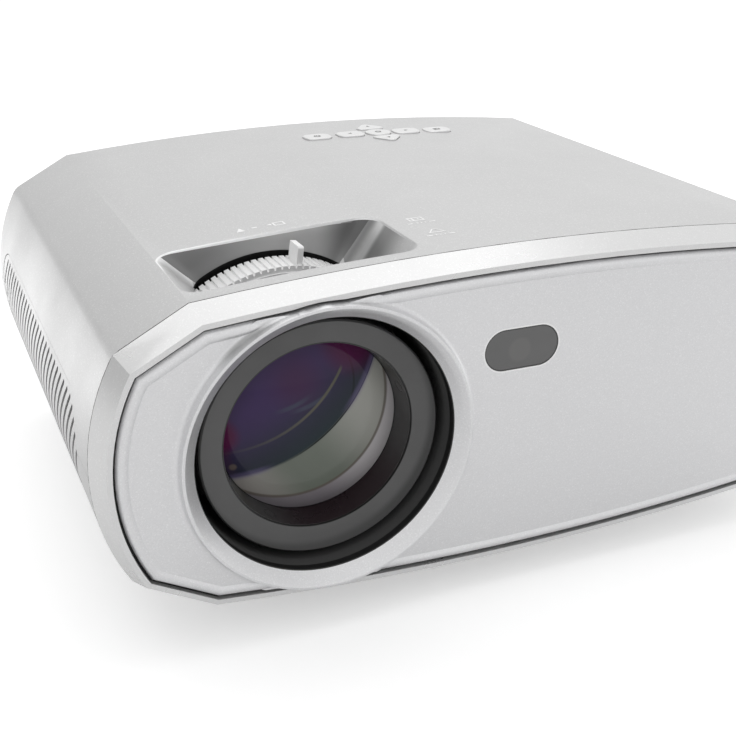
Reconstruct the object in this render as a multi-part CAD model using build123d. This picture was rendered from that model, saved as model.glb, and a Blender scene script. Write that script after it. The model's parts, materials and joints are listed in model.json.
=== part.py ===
from build123d import *
import math
import os

# Home LED projector: silver barrel-shaped case, projection lens at the front left,
# focus wheel in a well on top, keys at the back of the top, feet underneath.
# Millimetres. While modelling, X = 0 is the middle of the case, Y = 0 is the crest of the
# lens ring at the front and Y grows to the back, and Z = 0 is the middle of its height.
# The finished pieces are moved so that the origin is under the middle, on the table.

# Case; slip and skin are clearances, lap and past are how far shapes overlap or cut through
halfWidth = 164.5
halfHeight = 64.3
caseDepth = 246.0
caseWall = 2.6
topArcRise = 6.6
sideArcRise = 11.6
facetWidth = 26.2
facetHeight = 14.3
partingY = 14.85
seam = 0.2
slip = 0.15
skin = 0.02
lap = 1.0
past = 5.0

# Front frame and panel
grooveInset = 6.6
grooveWidth = 1.0
frameFlat = 2.0
frameFrontY = 3.6
frameSkirt = 5.0
skirtWall = 2.3
ledgeReach = 6.9
ledgeWall = 2.5
panelFaceY = 3.85
panelBackY = 8.0
lipWidth = 4.2
# the lip's rounded section: (how far in from the panel's edge, how far in front of the flat field)
lipRise = ((0.0, -1.2), (0.7, 0.0), (1.6, 0.6), (2.3, 0.75))
lipFall = ((2.6, 0.75), (3.4, 0.5), (lipWidth, 0.0))
gasketFaceY = 6.0
sideCornerSoft = 9.0

# Lens and its ring on the panel
lensX = -81.2
ringCrestR = 55.0
bulgeR = 55.03
ringLand = 1.1
ringEdgeR = 0.35
ringWallOut = 0.7
ringFlareR = 58.5
ringFlareCurve = 2.4
ringBoreR = 49.2
ringBoreY = 5.0
bulgeFillet = 18.0
shroudBoreR = 49.4
shroudWall = 1.2
shroudEndY = 48.2
shroudFlangeR = 54.0
shroudFlangeWall = 2.0

barrelR = 45.8
barrelFaceY = 12.1
barrelRimR = 36.6
barrelRimY = 14.7
barrelChamfer = 0.6
barrelEndY = 84.0
barrelWall = 2.5
barrelHeadEndY = 40.0
runFit = 0.06

frontLensR = 35.4
frontLensVertexY = 19.5
frontLensEdgeY = 26.8
frontLensBackY = 36.5
frontLensHollow = 4.0
ringFrontR = 36.1
ringInnerR = 35.0
ringSink = 0.5
ringMarkR = 2.5
ringMarkLine = 0.25
ringMarkDeep = 0.3
ringMarkY = 19.9
ringMarkAngles = (70.0, 211.0)
midLensR = 34.0
midLensY = 44.0
midLensThick = 8.0
midLensBulge = 2.0
midLensEdge = 2.0
midLensHollow = 4.0
rearLensR = 30.0
rearLensY = 73.0
rearLensThick = 7.0
rearLensBulge = 2.5
rearLensEdge = 1.5
rearLensHollow = 3.0
seatLip = 2.0

sleeveStartY = 46.0
sleeveR = 48.4
sleeveShoulderR = 50.4
sleeveFlangeR = 57.5
sleeveFlangeWall = 3.5

# Focus wheel
wheelFrontY = 50.8
wheelRibFrontY = 51.4
wheelRibBackY = 65.0
wheelBackY = 67.0
wheelRimR = 51.0
ribR = 53.4
ribRootR = 52.3
ribCount = 120
ribStart = 0.08
ribEnd = 0.74
ribFoot = 0.82
ribBand = 1.0
finAngle = 7.4
finThick = 2.3
finTipR = 60.3
finFrontY = 52.5
finBackY = 61.8
finChamfer = 0.6
focusBack = 36.0
focusForward = 24.0
focusLead = 45.0
camPinR = 1.5
camPinY = 59.5
camPinTipR = 50.2
camPinCount = 3
camPinStart = 60.0
retainerWall = 1.9
retainerGap = 0.2
retainerSplit = 3.0

# Well for the focus wheel in the top
wellRimLeft = -126.2
wellRimRight = -37.2
wellRimLeftZ = 58.0
wellRimRightZ = 63.7
wellFrontY = 22.5
wellBackY = 69.2
wellFloorZ = 43.5
wellFloorLeft = -112.0
wellFloorRight = -51.0
wellFloorBackY = 67.4
wellFloorFrontY = 24.5
wellCorner = 8.5
wellFloorCorner = 6.0
wellWall = 2.0
wellEdgeR = 0.7
wellAbove = 4.0
wellBelow = 12.0
wellSkirt = 8.0
wheelSlotGap = 0.5

# Remote-control window
windowX = -5.2
windowZ = 27.0
windowLength = 30.8
windowHeight = 16.0
windowSink = 0.2
windowFlange = 1.5
windowFlangeWall = 1.2
receiverR = 4.5
receiverBoardY = 12.0
boardWall = 1.6
windowPostOut = 20.5
windowPostR = 2.5

# Side grilles
grilleStartY = 35.0
grilleEndIn = 12.0
grilleHalf = 18.8
grilleSink = 0.15
grilleGap = 0.4
grilleWall = 1.8
grilleFlange = 2.0
slotPitch = 6.7
slotWidth = 2.0
slotMargin = 2.2
slotLean = 42.0
sideBand = 12.0

# Control keys
keyRowIn = 37.0
keyCentreX = 26.0
keyStepX = 15.5
keyOuterX = 33.5
keyWide = 14.0
keyDeep = 11.0
keyCorner = 4.0
okKeyR = 6.5
arrowBase = 8.5
arrowTip = 21.0
arrowHalf = 9.5
arrowCorner = 2.5
keyProud = 0.8
keyTravel = 0.8
keyGap = 0.3
keyFlange = 1.0
keyFlangeWall = 1.2
keyEdgeR = 0.5
keyStemR = 1.8
keyBoardTopZ = 54.2
switchSide = 6.0
switchHeight = 3.0
keyBoardPostR = 2.5
keyBoardEdge = 4.0
keyBoardEdgeY = 2.0
buttonRise = 1.0
keyCutHalf = 8.0

# Rear
rearPanelSink = 7.5
rearPanelWall = 2.5
stopRibWall = 2.2
stopRibHeight = 2.6
rearScrewInX = 46.5
rearScrewInZ = 12.3
rearBossR = 4.5
rearBossLength = 12.0
rearScrewBite = 7.0
exhaustInX = 22.5
exhaustWide = 70.0
exhaustHalf = 30.0
exhaustPitch = 6.0
exhaustSlot = 3.0

# Ports on the rear panel: centres in X, one row height
portZ = -24.0
videoX = (-40.0, -16.0)
videoOpen = (14.4, 5.0)
dataX = (8.0, 30.0)
dataOpen = (12.6, 5.4)
audioX = (50.0, 66.0)
audioBoreR = 1.8
audioBodyR = 4.2
portWall = 0.7
portDepth = 12.0
portFit = 0.3
portCorner = 0.8
portInnerCorner = 0.5
portCutCorner = 1.0
tongueSide = 2.0
tongueBack = 3.0
tongueThick = 0.8
tongueSink = 0.2
inletInX = 48.5
inletZ = -26.0
inletBody = (24.0, 14.0)
inletOpen = (16.6, 8.8)
inletFlange = (31.0, 20.0)
inletFlangeWall = 2.0
inletDepth = 11.0
inletPinR = 1.2
inletPinStep = 8.6
inletPinLength = 8.5
inletTail = 4.0
inletCorner = 2.0
inletFlangeCorner = 2.5
rearWindowX = 60.0
rearWindowZ = 18.0
rearWindowLength = 15.4
rearWindowHeight = 8.0

# Boards
mainBoardGap = 16.5
mainBoardX = (-62.0, 92.0)
mainBoardZ = (-46.0, 10.0)
# chips on the main board: X span and Z span from its lower left corner, height
mainChips = (((38.0, 60.0), (28.0, 50.0), 3.0), ((86.0, 100.0), (16.0, 34.0), 2.0))
powerBoardX = (18.0, 124.0)
powerBoardY = (38.0, 88.0)
powerBoardZ = -46.0
boardPostR = 3.2
boardInset = 5.0
boardScrewBite = 5.0
# transformer, cooling plate and choke on the power board: X and Y span from its front left corner, height
powerBlocks = (((36.0, 66.0), (12.0, 38.0), 24.0), ((72.0, 74.0), (6.0, 44.0), 26.0),
               ((12.0, 28.0), (26.0, 42.0), 16.0))
capPlaces = ((86.0, 14.0), (86.0, 36.0))
capR = 8.5
capHeight = 28.0

# Light engine
engineLeft = -128.0
engineRight = 52.0
engineFrontY = 92.0
engineBoardGap = 18.0
engineHalf = 48.0
engineWall = 2.5
barrelHoleGap = 1.0
engineFootX = 20.0
engineFootHalf = 4.0
engineFootNear = 6.0
engineFootFar = 14.0
opticShiftY = 2.0
lcdX = -20.0
lcdWall = 2.4
fresnelEndGap = 6.0
lcdInset = 2.0
glassInset = 8.0
opticTopZ = 36.0
fresnelX = (-30.0, -8.0)
fresnelWall = 2.0
heatGlassX = 6.0
heatGlassWall = 1.5
condenserX = 20.0
condenserR = 30.0
condenserHolderWall = 4.0
condenserRise = 9.0
mirrorLength = 96.0
mirrorWall = 3.0
ledSide = 40.0
ledOpening = 44.0
ledWall = 2.0
ledDomeR = 9.0
ledDomeTopR = 5.4
ledDomeRise = 3.0
sinkBase = 6.0
sinkEndIn = 46.5
sinkHalfY = 38.0
sinkHalfZ = 37.0
finPitch = 5.4
finWall = 1.6

# Fans
fanDepth = 15.0
rightFanSide = 80.0
leftFanSide = 70.0
leftFanY = 158.0
fanWall = 2.0
fanHubR = 15.0
fanTipGap = 1.0
fanBlades = 7
fanBladeWall = 1.6
fanBladePitch = 38.0
fanBladeShare = 0.3
fanBladeSink = 4.0
fanShaftR = 1.5
fanShaftEnd = 1.0
fanShaftGap = 0.3
fanStrutWall = 3.0
fanRotorGap = 0.5
fanCorner = 4.0
fanHoleR = 2.1
fanShelfHalf = 2.0

# Speakers
speakerY = 66.0
speakerR = 18.0
speakerFaceIn = 7.5
speakerDepth = 19.0
speakerRim = 3.0
speakerCradle = 8.0
speakerRoll = 2.0
speakerGap = 2.0
magnetR = 10.8
magnetThick = 7.6
coneR = 5.4
coneFloor = 10.45
coneMiddle = 12.35

# Underside
footHeight = 10.0
footInX = 60.5
footFrontY = 53.0
footBackIn = 32.0
footR = 9.0
footSink = 1.5
footBossR = 11.0
footBossDrop = 1.8
footChamfer = 0.8
mountX = 50.0
mountY = (84.0, 184.0)
mountBoreR = 1.65
mountInsertR = 2.8
mountInsertLength = 8.0
mountBossR = 5.0
tripodY = 123.0
tripodBoreR = 2.55
tripodInsertR = 5.0
tripodInsertLength = 9.0
tripodBossR = 8.0
bottomVentX = 88.0
bottomVentY = 150.0
bottomVentLength = 60.0
bottomVentCount = 9
bottomVentPitch = 6.0
bottomVentSlot = 3.0
bottomVentReach = 12.0

# Elevator foot at the front
elevatorY = 56.0
dialR = 15.0
dialTopGap = 0.7
dialHeight = 5.0
dialNotches = 24
dialNotchR = 1.2
dialChamfer = 0.6
hubR = 7.0
hubTopZ = -54.4
postR = 4.5
postTipR = 7.0
postTipHeight = 2.6
floorGap = 0.5
postHead = 12.0
postHeadHeight = 4.0
postHeadZ = -40.0
postTravel = 12.0
collarR = 9.5
collarWall = 1.5
elevatorBossR = 10.6
elevatorBossTopZ = -56.0
guideR = 13.0
guideTopZ = -32.0
guideFlange = (36.0, 26.0)
guideFlangeWall = 2.0
guideCap = 2.0

# Case screws from below
cornerScrewInX = 26.5
cornerScrewFrontY = 30.0
backScrewIn = 20.0
middleScrew = (0.0, 27.0)
middleBackX = -78.0
caseBossR = 4.5
bossJointZ = -30.0
screwHeadR = 3.0
screwHeadHeight = 2.0
screwSocketR = 1.2
screwSocketDeep = 1.1
screwR = 1.5
screwWellR = 3.4
screwWellTopZ = -44.0
screwLength = 22.0
screwTipRoom = 2.0
panelScrewR = 1.1
panelScrewHeadR = 2.0
panelScrewBite = 2.4

# Corners of the case outline that follow from its sizes
sideCornerX = halfWidth - sideArcRise
topCornerX = sideCornerX - facetWidth
topCornerZ = halfHeight - topArcRise
sideCornerZ = topCornerZ - facetHeight
topArcR = (topCornerX**2 + topArcRise**2) / (2 * topArcRise)
sideArcR = (sideCornerZ**2 + sideArcRise**2) / (2 * sideArcRise)
facetLength = math.hypot(facetWidth, facetHeight)
baseZ = -halfHeight - footHeight
innerBaseZ = -halfHeight + caseWall

# Places that follow the case's depth and width
rearPanelY = caseDepth - rearPanelSink
mainBoardY = rearPanelY - mainBoardGap
engineBackY = mainBoardY - engineBoardGap
opticY = (engineFrontY + engineBackY) / 2 + opticShiftY
fresnelHalfY = (engineBackY - engineFrontY) / 2 - fresnelEndGap
lcdHalfY = fresnelHalfY - lcdInset
glassHalfY = fresnelHalfY - glassInset
grilleEndY = caseDepth - grilleEndIn
keyRowY = caseDepth - keyRowIn
footX = halfWidth - footInX
footY = (footFrontY, caseDepth - footBackIn)
rearScrewX = halfWidth - rearScrewInX
rearScrewZ = halfHeight - rearScrewInZ
exhaustLeft = exhaustInX - halfWidth
inletX = halfWidth - inletInX
sinkEndX = halfWidth - sinkEndIn
speakerFaceX = halfWidth - speakerFaceIn
backScrewY = caseDepth - backScrewIn
cornerScrewX = halfWidth - cornerScrewInX
caseScrewPlaces = [(x, y) for x in (-cornerScrewX, cornerScrewX) for y in (cornerScrewFrontY, backScrewY)]
caseScrewPlaces += [middleScrew, (middleBackX, backScrewY)]


def arcMeetsFacet(centreX, centreZ, radius, inset, nearX):
    # where an inset arc of the outline meets the inset corner facet, on the side nearest nearX
    runX, runZ = facetWidth / facetLength, -facetHeight / facetLength
    startX = topCornerX - facetHeight / facetLength * inset
    startZ = topCornerZ - facetWidth / facetLength * inset
    dx, dz = startX - centreX, startZ - centreZ
    half = dx * runX + dz * runZ
    root = math.sqrt(half**2 - dx**2 - dz**2 + radius**2)
    places = [(startX + t * runX, startZ + t * runZ) for t in (-half - root, -half + root)]
    return min(places, key=lambda p: abs(p[0] - nearX))


def caseOutline(inset=0.0):
    # barrel-shaped outline of the case, drawn in X and Z, moved inwards all round by inset
    topX, topZ = arcMeetsFacet(0, halfHeight - topArcR, topArcR - inset, inset, topCornerX)
    sideX, sideZ = arcMeetsFacet(halfWidth - sideArcR, 0, sideArcR - inset, inset, sideCornerX)
    top, side = halfHeight - inset, halfWidth - inset
    return make_face([
        ThreePointArc((-topX, topZ), (0, top), (topX, topZ)),
        Line((topX, topZ), (sideX, sideZ)),
        ThreePointArc((sideX, sideZ), (side, 0), (sideX, -sideZ)),
        Line((sideX, -sideZ), (topX, -topZ)),
        ThreePointArc((topX, -topZ), (0, -top), (-topX, -topZ)),
        Line((-topX, -topZ), (-sideX, -sideZ)),
        ThreePointArc((-sideX, -sideZ), (-side, 0), (-sideX, sideZ)),
        Line((-sideX, sideZ), (-topX, topZ)),
    ])


def planeAtY(y):
    return Plane((0, y, 0), x_dir=(1, 0, 0), z_dir=(0, -1, 0))


def alongY(face, startY, endY):
    return extrude(planeAtY(endY) * face, endY - startY)


def alongZ(face, lowZ, highZ):
    return extrude(Plane((0, 0, lowZ)) * face, highZ - lowZ)


def alongX(face, startX, endX):
    # the face is drawn in Y and Z
    return extrude(Plane((startX, 0, 0), x_dir=(0, 1, 0), z_dir=(1, 0, 0)) * face, endX - startX)


def block(rangeX, rangeY, rangeZ):
    sizes = [high - low for low, high in (rangeX, rangeY, rangeZ)]
    middle = [(low + high) / 2 for low, high in (rangeX, rangeY, rangeZ)]
    return Pos(*middle) * Box(*sizes)


def rodY(x, z, radius, startY, endY):
    return alongY(Pos(x, z) * Circle(radius), startY, endY)


def rodZ(x, y, radius, lowZ, highZ):
    return alongZ(Pos(x, y) * Circle(radius), lowZ, highZ)


def stadium(x, z, length, height):
    return Pos(x, z) * SlotOverall(length, height)


def lensTurned(*points):
    # solid of revolution about the lens axis, from points (radius, y)
    profile = make_face(Polyline(*[(r, y) for r, y in points], close=True))
    return Pos(lensX, 0, 0) * revolve(profile, Axis.Y)


def lensAngle(shape, degrees):
    # turns a shape that is built at the top of the lens axis; positive goes towards +X
    return Pos(lensX, 0, 0) * Rot(0, degrees, 0) * shape


def surfaceZ(x, inset=0.0):
    # height of the case's top surface at x, between its top corners
    radius = topArcR - inset
    return halfHeight - topArcR + math.sqrt(radius**2 - x**2)


def facetZ(x):
    # height of the case's outer corner facet at x
    return topCornerZ - (abs(x) - topCornerX) * facetHeight / facetWidth


def outerZ(x):
    return facetZ(x) if abs(x) > topCornerX else surfaceZ(x)


def bulged(inset, radius):
    # case outline with the round bulge beside the lens ring, its corners eased
    shape = Sketch() + caseOutline(inset) + Pos(lensX, 0) * Circle(radius)
    meets = [v for v in shape.vertices() if abs(math.hypot(v.X - lensX, v.Y) - radius) < 0.01
             and abs(v.X - lensX) < radius * 0.9]
    return fillet(meets, bulgeFillet)


def frontFrame():
    rimInset = grooveInset - grooveWidth / 2
    flare = loft([
        planeAtY(partingY - seam) * caseOutline(0),
        planeAtY(frameFrontY) * caseOutline(rimInset - frameFlat),
    ], ruled=True)
    skirt = alongY(caseOutline(caseWall + slip), partingY - seam, partingY + frameSkirt)
    hollow = caseOutline(caseWall + slip + skirtWall)
    skirt -= alongY(hollow, partingY - seam - lap, partingY + frameSkirt + lap)
    opening = bulged(rimInset, bulgeR + grooveWidth)
    ring = flare - alongY(opening, frameFrontY - past, partingY + lap)
    inner = caseOutline(rimInset + ledgeReach) + Pos(lensX, 0) * Circle(shroudFlangeR + slip)
    ledge = alongY(opening, panelBackY, panelBackY + ledgeWall)
    ledge -= alongY(inner, panelBackY - lap, panelBackY + ledgeWall + lap)
    frame = ring + ledge + skirt
    for x, z in panelScrewPlaces():
        frame -= rodY(x, z, panelScrewR + slip, panelBackY - lap, panelBackY + ledgeWall + lap)
    return frame


def panelScrewPlaces():
    inset = grooveInset + grooveWidth / 2 + lipWidth - panelScrewR
    cornerX, sideX = topCornerX - lipWidth, halfWidth - inset
    middle, corner = surfaceZ(keyCentreX, inset), surfaceZ(cornerX, inset)
    return [(keyCentreX, middle), (keyCentreX, -middle), (cornerX, corner), (cornerX, -corner),
            (sideX, 0), (-sideX, 0)]


def panelScrews():
    one = []
    for x, z in panelScrewPlaces():
        shank = rodY(x, z, panelScrewR, panelBackY - panelScrewBite, panelBackY + ledgeWall)
        head = rodY(x, z, panelScrewHeadR, panelBackY + ledgeWall, panelBackY + ledgeWall + panelScrewR)
        one.append(shank + head)
    return Compound(one)


def frontPanel():
    edgeInset = grooveInset + grooveWidth / 2
    outline = bulged(edgeInset, bulgeR)
    panel = alongY(outline, panelFaceY - lipRise[0][1], panelBackY) + panelLip(edgeInset)
    panel -= rodY(lensX, 0, ringCrestR, -past, panelBackY + past)
    panel += lensRing() & alongY(outline, -past, panelBackY)
    windowHole = stadium(windowX, windowZ, windowLength + 2 * slip, windowHeight + 2 * slip)
    panel -= alongY(windowHole, -past, panelBackY + past)
    for side in (-1, 1):
        panel += rodY(windowX + side * windowPostOut, windowZ, windowPostR, panelBackY, receiverBoardY)
    for x, z in panelScrewPlaces():
        panel -= rodY(x, z, panelScrewR + skin, panelBackY - panelScrewBite - skin, panelBackY + lap)
    return panel


def panelLip(edgeInset):
    # rounded lip round the panel's edge, in steps, with the flat field inside it left open
    def step(first, second):
        faces = [planeAtY(panelFaceY - rise) * caseOutline(edgeInset + run) for run, rise in (first, second)]
        return loft(faces, ruled=True)

    lip = step(*lipRise[:2])
    for pair in zip(lipRise[1:], lipRise[2:]):
        lip += step(*pair)
    # the cut runs on in front of the lip, in line with its first inner slope
    (crestRun, crestRise), (nextRun, nextRise) = lipFall[:2]
    ahead = (2 * crestRun - nextRun, 2 * crestRise - nextRise)
    for pair in zip((ahead,) + lipFall[1:], lipFall[1:]):
        lip -= step(*pair)
    return lip


def lensRing():
    # raised ring round the lens: cone inside, rounded flat crest, wall that flares into the panel
    landR, wallR = ringCrestR - ringLand, ringCrestR + ringWallOut
    corners2d = [(ringBoreR, ringBoreY), (landR, 0), (ringCrestR, 0), (wallR, panelFaceY),
                 (ringFlareR, panelFaceY), (ringFlareR, panelBackY), (ringBoreR, panelBackY)]
    profile = make_face(Polyline(*corners2d, close=True))
    crest = [v for v in profile.vertices() if abs(v.Y) < skin]
    profile = fillet(crest, ringEdgeR)
    foot = [v for v in profile.vertices() if abs(v.X - wallR) < skin and abs(v.Y - panelFaceY) < skin]
    profile = fillet(foot, ringFlareCurve)
    return Pos(lensX, 0, 0) * revolve(profile, Axis.Y)


def panelGasket():
    outer = bulged(grooveInset - grooveWidth / 2 + skin, bulgeR + grooveWidth - skin)
    inner = bulged(grooveInset + grooveWidth / 2 - skin, bulgeR + skin)
    return alongY(outer, gasketFaceY, panelBackY) - alongY(inner, gasketFaceY - lap, panelBackY + lap)


def irWindow():
    front = alongY(stadium(windowX, windowZ, windowLength, windowHeight), panelFaceY + windowSink, panelBackY)
    wide = stadium(windowX, windowZ, windowLength + 2 * windowFlange, windowHeight + 2 * windowFlange)
    return front + alongY(wide, panelBackY, panelBackY + windowFlangeWall)


def irReceiver():
    dome = rodY(windowX, windowZ, receiverR, panelBackY + windowFlangeWall + seam, receiverBoardY)
    span = windowPostOut + windowPostR + lap
    board = block((windowX - span, windowX + span), (receiverBoardY, receiverBoardY + boardWall),
                  (windowZ - windowHeight / 2, windowZ + windowHeight / 2))
    return dome + board


def lensShroud():
    outR = shroudBoreR + shroudWall
    return lensTurned((shroudBoreR, panelBackY), (shroudFlangeR, panelBackY),
                      (shroudFlangeR, panelBackY + shroudFlangeWall), (outR, panelBackY + shroudFlangeWall),
                      (outR, shroudEndY), (shroudBoreR, shroudEndY))


def lensBarrel():
    boreR = barrelR - barrelWall
    midEnd = midLensY + midLensThick
    rearEnd = rearLensY + rearLensThick
    barrel = lensTurned(
        (barrelR - barrelChamfer, barrelFaceY), (barrelR, barrelFaceY + barrelChamfer), (barrelR, barrelEndY),
        (boreR, barrelEndY), (boreR, rearEnd + seatLip), (rearLensR - seatLip, rearEnd + seatLip),
        (rearLensR - seatLip, rearEnd), (rearLensR + skin, rearEnd), (rearLensR + skin, rearLensY),
        (boreR, rearLensY), (boreR, midEnd + seatLip), (midLensR - seatLip, midEnd + seatLip),
        (midLensR - seatLip, midEnd), (midLensR + skin, midEnd), (midLensR + skin, midLensY),
        (boreR, midLensY - seatLip), (boreR, barrelHeadEndY),
        (frontLensR - seatLip, frontLensBackY + seatLip), (frontLensR - seatLip, frontLensBackY),
        (frontLensR + skin, frontLensBackY), (frontLensR + skin, frontLensEdgeY - skin),
        (barrelRimR, frontLensEdgeY - skin), (barrelRimR, barrelRimY))
    for pin in camPinSpots():
        barrel -= lensAngle(rodZ(0, camPinY, camPinR + skin, boreR - lap, barrelR + lap), pin)
    return barrel


def camPinSpots():
    return [camPinStart + k * 360 / camPinCount for k in range(camPinCount)]


def camPins():
    one = rodZ(0, camPinY, camPinR, barrelR - barrelWall, camPinTipR)
    return Compound([lensAngle(one, pin) for pin in camPinSpots()])


def retainingRing():
    outR = barrelRimR - skin
    frontY, backY = barrelRimY + ringSink, frontLensEdgeY - 2 * skin
    glassY = frontLensVertexY + lensSag(frontLensR, frontLensEdgeY - frontLensVertexY, ringInnerR) - slip
    ring = lensTurned((outR, frontY), (outR, backY), (frontLensR, backY), (ringInnerR, glassY),
                      (ringFrontR, frontY))
    # round marks on the ring's sloping bore
    slope = (ringFrontR - ringInnerR) / (glassY - frontY)
    middle = (0, ringMarkY, ringFrontR - slope * (ringMarkY - frontY) + ringMarkDeep)
    leaning = Plane(middle, x_dir=(1, 0, 0), z_dir=(0, -slope, -1))
    mark = extrude(leaning * (Circle(ringMarkR) - Circle(ringMarkR - ringMarkLine)), ringMarkDeep + lap)
    for angle in ringMarkAngles:
        ring -= lensAngle(mark, angle)
    return ring


def lensSag(edgeR, edgeSag, r):
    # depth of a spherical surface at radius r, when its depth is edgeSag at radius edgeR
    ball = (edgeR**2 + edgeSag**2) / (2 * edgeSag)
    return ball - math.sqrt(ball**2 - r**2)


def glassLens(radius, vertexY, edgeFrontY, edgeBackY, backY):
    # round glass about the lens axis: front surface swells to vertexY, back surface to backY
    half = radius / 2
    frontMid = vertexY + lensSag(radius, edgeFrontY - vertexY, half)
    backMid = backY - lensSag(radius, backY - edgeBackY, half) if backY > edgeBackY else \
        backY + lensSag(radius, edgeBackY - backY, half)
    profile = make_face([
        ThreePointArc((0, vertexY), (half, frontMid), (radius, edgeFrontY)),
        Line((radius, edgeFrontY), (radius, edgeBackY)),
        ThreePointArc((radius, edgeBackY), (half, backMid), (0, backY)),
        Line((0, backY), (0, vertexY)),
    ])
    return Pos(lensX, 0, 0) * revolve(profile, Axis.Y)


def frontLens():
    return glassLens(frontLensR, frontLensVertexY, frontLensEdgeY, frontLensBackY,
                     frontLensBackY - frontLensHollow)


def middleLens():
    backY = midLensY + midLensThick
    return glassLens(midLensR, midLensY - midLensBulge, midLensY + midLensEdge, backY, backY - midLensHollow)


def rearLens():
    backY = rearLensY + rearLensThick
    return glassLens(rearLensR, rearLensY - rearLensBulge, rearLensY + rearLensEdge, backY,
                     backY - rearLensHollow)


def lensSleeve():
    boreR = barrelR + runFit
    flangeY = engineFrontY - sleeveFlangeWall
    shoulderY = wheelBackY + retainerGap
    sleeve = lensTurned((boreR, sleeveStartY), (sleeveR, sleeveStartY), (sleeveR, shoulderY),
                        (sleeveShoulderR, shoulderY), (sleeveShoulderR, flangeY), (sleeveFlangeR, flangeY),
                        (sleeveFlangeR, engineFrontY), (boreR, engineFrontY))
    forward = focusLead * focusForward / 360 + camPinR + slip
    back = focusLead * focusBack / 360 + camPinR + slip
    slotWide = camPinR + runFit
    slot = block((-slotWide, slotWide), (camPinY - forward, camPinY + back), (boreR - lap, sleeveR + lap))
    for pin in camPinSpots():
        sleeve -= lensAngle(slot, pin)
    for angle in sleeveScrewAngles():
        sleeve -= lensAngle(rodY(0, sleeveScrewR(), screwR + slip, flangeY - lap, engineFrontY + lap), angle)
    return sleeve


def sleeveScrewAngles():
    return [45, 135, 225, 315]


def sleeveScrewR():
    return (sleeveShoulderR + sleeveFlangeR) / 2 + slip


def sleeveScrews():
    flangeY = engineFrontY - sleeveFlangeWall
    one = rodY(0, sleeveScrewR(), screwR, flangeY, engineFrontY + engineWall)
    one += rodY(0, sleeveScrewR(), screwHeadR, flangeY - screwHeadHeight, flangeY)
    return [lensAngle(one, angle) for angle in sleeveScrewAngles()]


def focusWheel():
    boreR = sleeveR + runFit
    wheel = lensTurned((boreR, wheelFrontY), (wheelRimR, wheelFrontY), (wheelRimR, wheelRibFrontY),
                       (ribRootR, wheelRibFrontY), (ribRootR, wheelRibBackY), (wheelRimR, wheelRibBackY),
                       (wheelRimR, wheelBackY), (boreR, wheelBackY))
    wheel += Pos(lensX, 0, 0) * ribbedRing()
    fin = block((-finThick / 2, finThick / 2), (finFrontY, finBackY), (boreR + lap, finTipR))
    fin = chamfer(fin.edges().filter_by(Axis.X).group_by(Axis.Z)[-1].group_by(Axis.Y)[0], finChamfer)
    wheel += lensAngle(fin, finAngle)
    for pin in camPinSpots():
        wheel -= lensAngle(camGroove(), pin)
    return wheel


def ribbedRing():
    # ring with one rib per step, ribs along Y, half of each step raised
    step = 2 * math.pi / ribCount
    points = []
    for k in range(ribCount):
        for part, radius in ((0.0, ribRootR), (ribStart, ribR), (ribEnd, ribR), (ribFoot, ribRootR)):
            turn = (k + part) * step
            points.append((radius * math.sin(turn), radius * math.cos(turn)))
    face = make_face(Polyline(*points, close=True)) - Circle(ribRootR - ribBand)
    return alongY(face, wheelRibFrontY, wheelRibBackY)


def camGroove():
    # helical groove inside the wheel, at the top of the lens axis, wide enough for one pin
    margin = math.degrees((camPinR + slip) / sleeveR)
    start, end = -focusForward - margin, focusBack + margin
    height = focusLead * (end - start) / 360
    radius = (sleeveR + camPinTipR) / 2
    depth = camPinTipR - sleeveR + 2 * slip
    line = Helix(pitch=focusLead, height=height, radius=radius)
    first = line @ 0
    section = Plane(origin=first, x_dir=(1, 0, 0), z_dir=line % 0)
    groove = sweep(section * Rectangle(depth, 2 * (camPinR + runFit)), path=line, is_frenet=True)
    placed = Rot(0, start - 90, 0) * Rot(-90, 0, 0) * groove
    return Pos(0, camPinY + focusLead * start / 360, 0) * placed


def wheelRetainer():
    backY = wheelFrontY - retainerGap
    ring = lensTurned((sleeveR + skin, backY - retainerWall), (sleeveShoulderR, backY - retainerWall),
                      (sleeveShoulderR, backY), (sleeveR + skin, backY))
    split = block((lensX - retainerSplit, lensX + retainerSplit), (backY - past, backY + past),
                  (-sleeveShoulderR - past, -sleeveR + past))
    return ring - split


def wellSolid(grow):
    # the well's space, or with grow its outer walls
    topZ = halfHeight + wellAbove
    leftSlope = (wellFloorLeft - wellRimLeft) / (wellRimLeftZ - wellFloorZ)
    rightSlope = (wellRimRight - wellFloorRight) / (wellRimRightZ - wellFloorZ)
    rimZ = (wellRimLeftZ + wellRimRightZ) / 2
    backSlope = (wellBackY - wellFloorBackY) / (rimZ - wellFloorZ)
    frontSlope = (wellFloorFrontY - wellFrontY) / (rimZ - wellFloorZ)

    def level(z, corner):
        rise = z - wellFloorZ
        left, right = wellFloorLeft - leftSlope * rise - grow, wellFloorRight + rightSlope * rise + grow
        front, back = wellFloorFrontY - frontSlope * rise - grow, wellFloorBackY + backSlope * rise + grow
        shape = RectangleRounded(right - left, back - front, corner)
        return Pos((left + right) / 2, (front + back) / 2, z) * shape

    lowZ = wellFloorZ - wellBelow
    return loft([level(topZ, wellCorner + grow), level(lowZ, wellFloorCorner + grow)], ruled=True)


def wheelRoom():
    room = rodY(lensX, 0, ribR + wheelSlotGap, wheelFrontY - lap, wellFloorBackY)
    behind = rodY(lensX, 0, sleeveShoulderR + wheelSlotGap, wellFloorBackY - lap, engineFrontY)
    return room + behind + rodY(lensX, 0, shroudBoreR + shroudWall + slip, -past, wheelFrontY)


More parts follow.
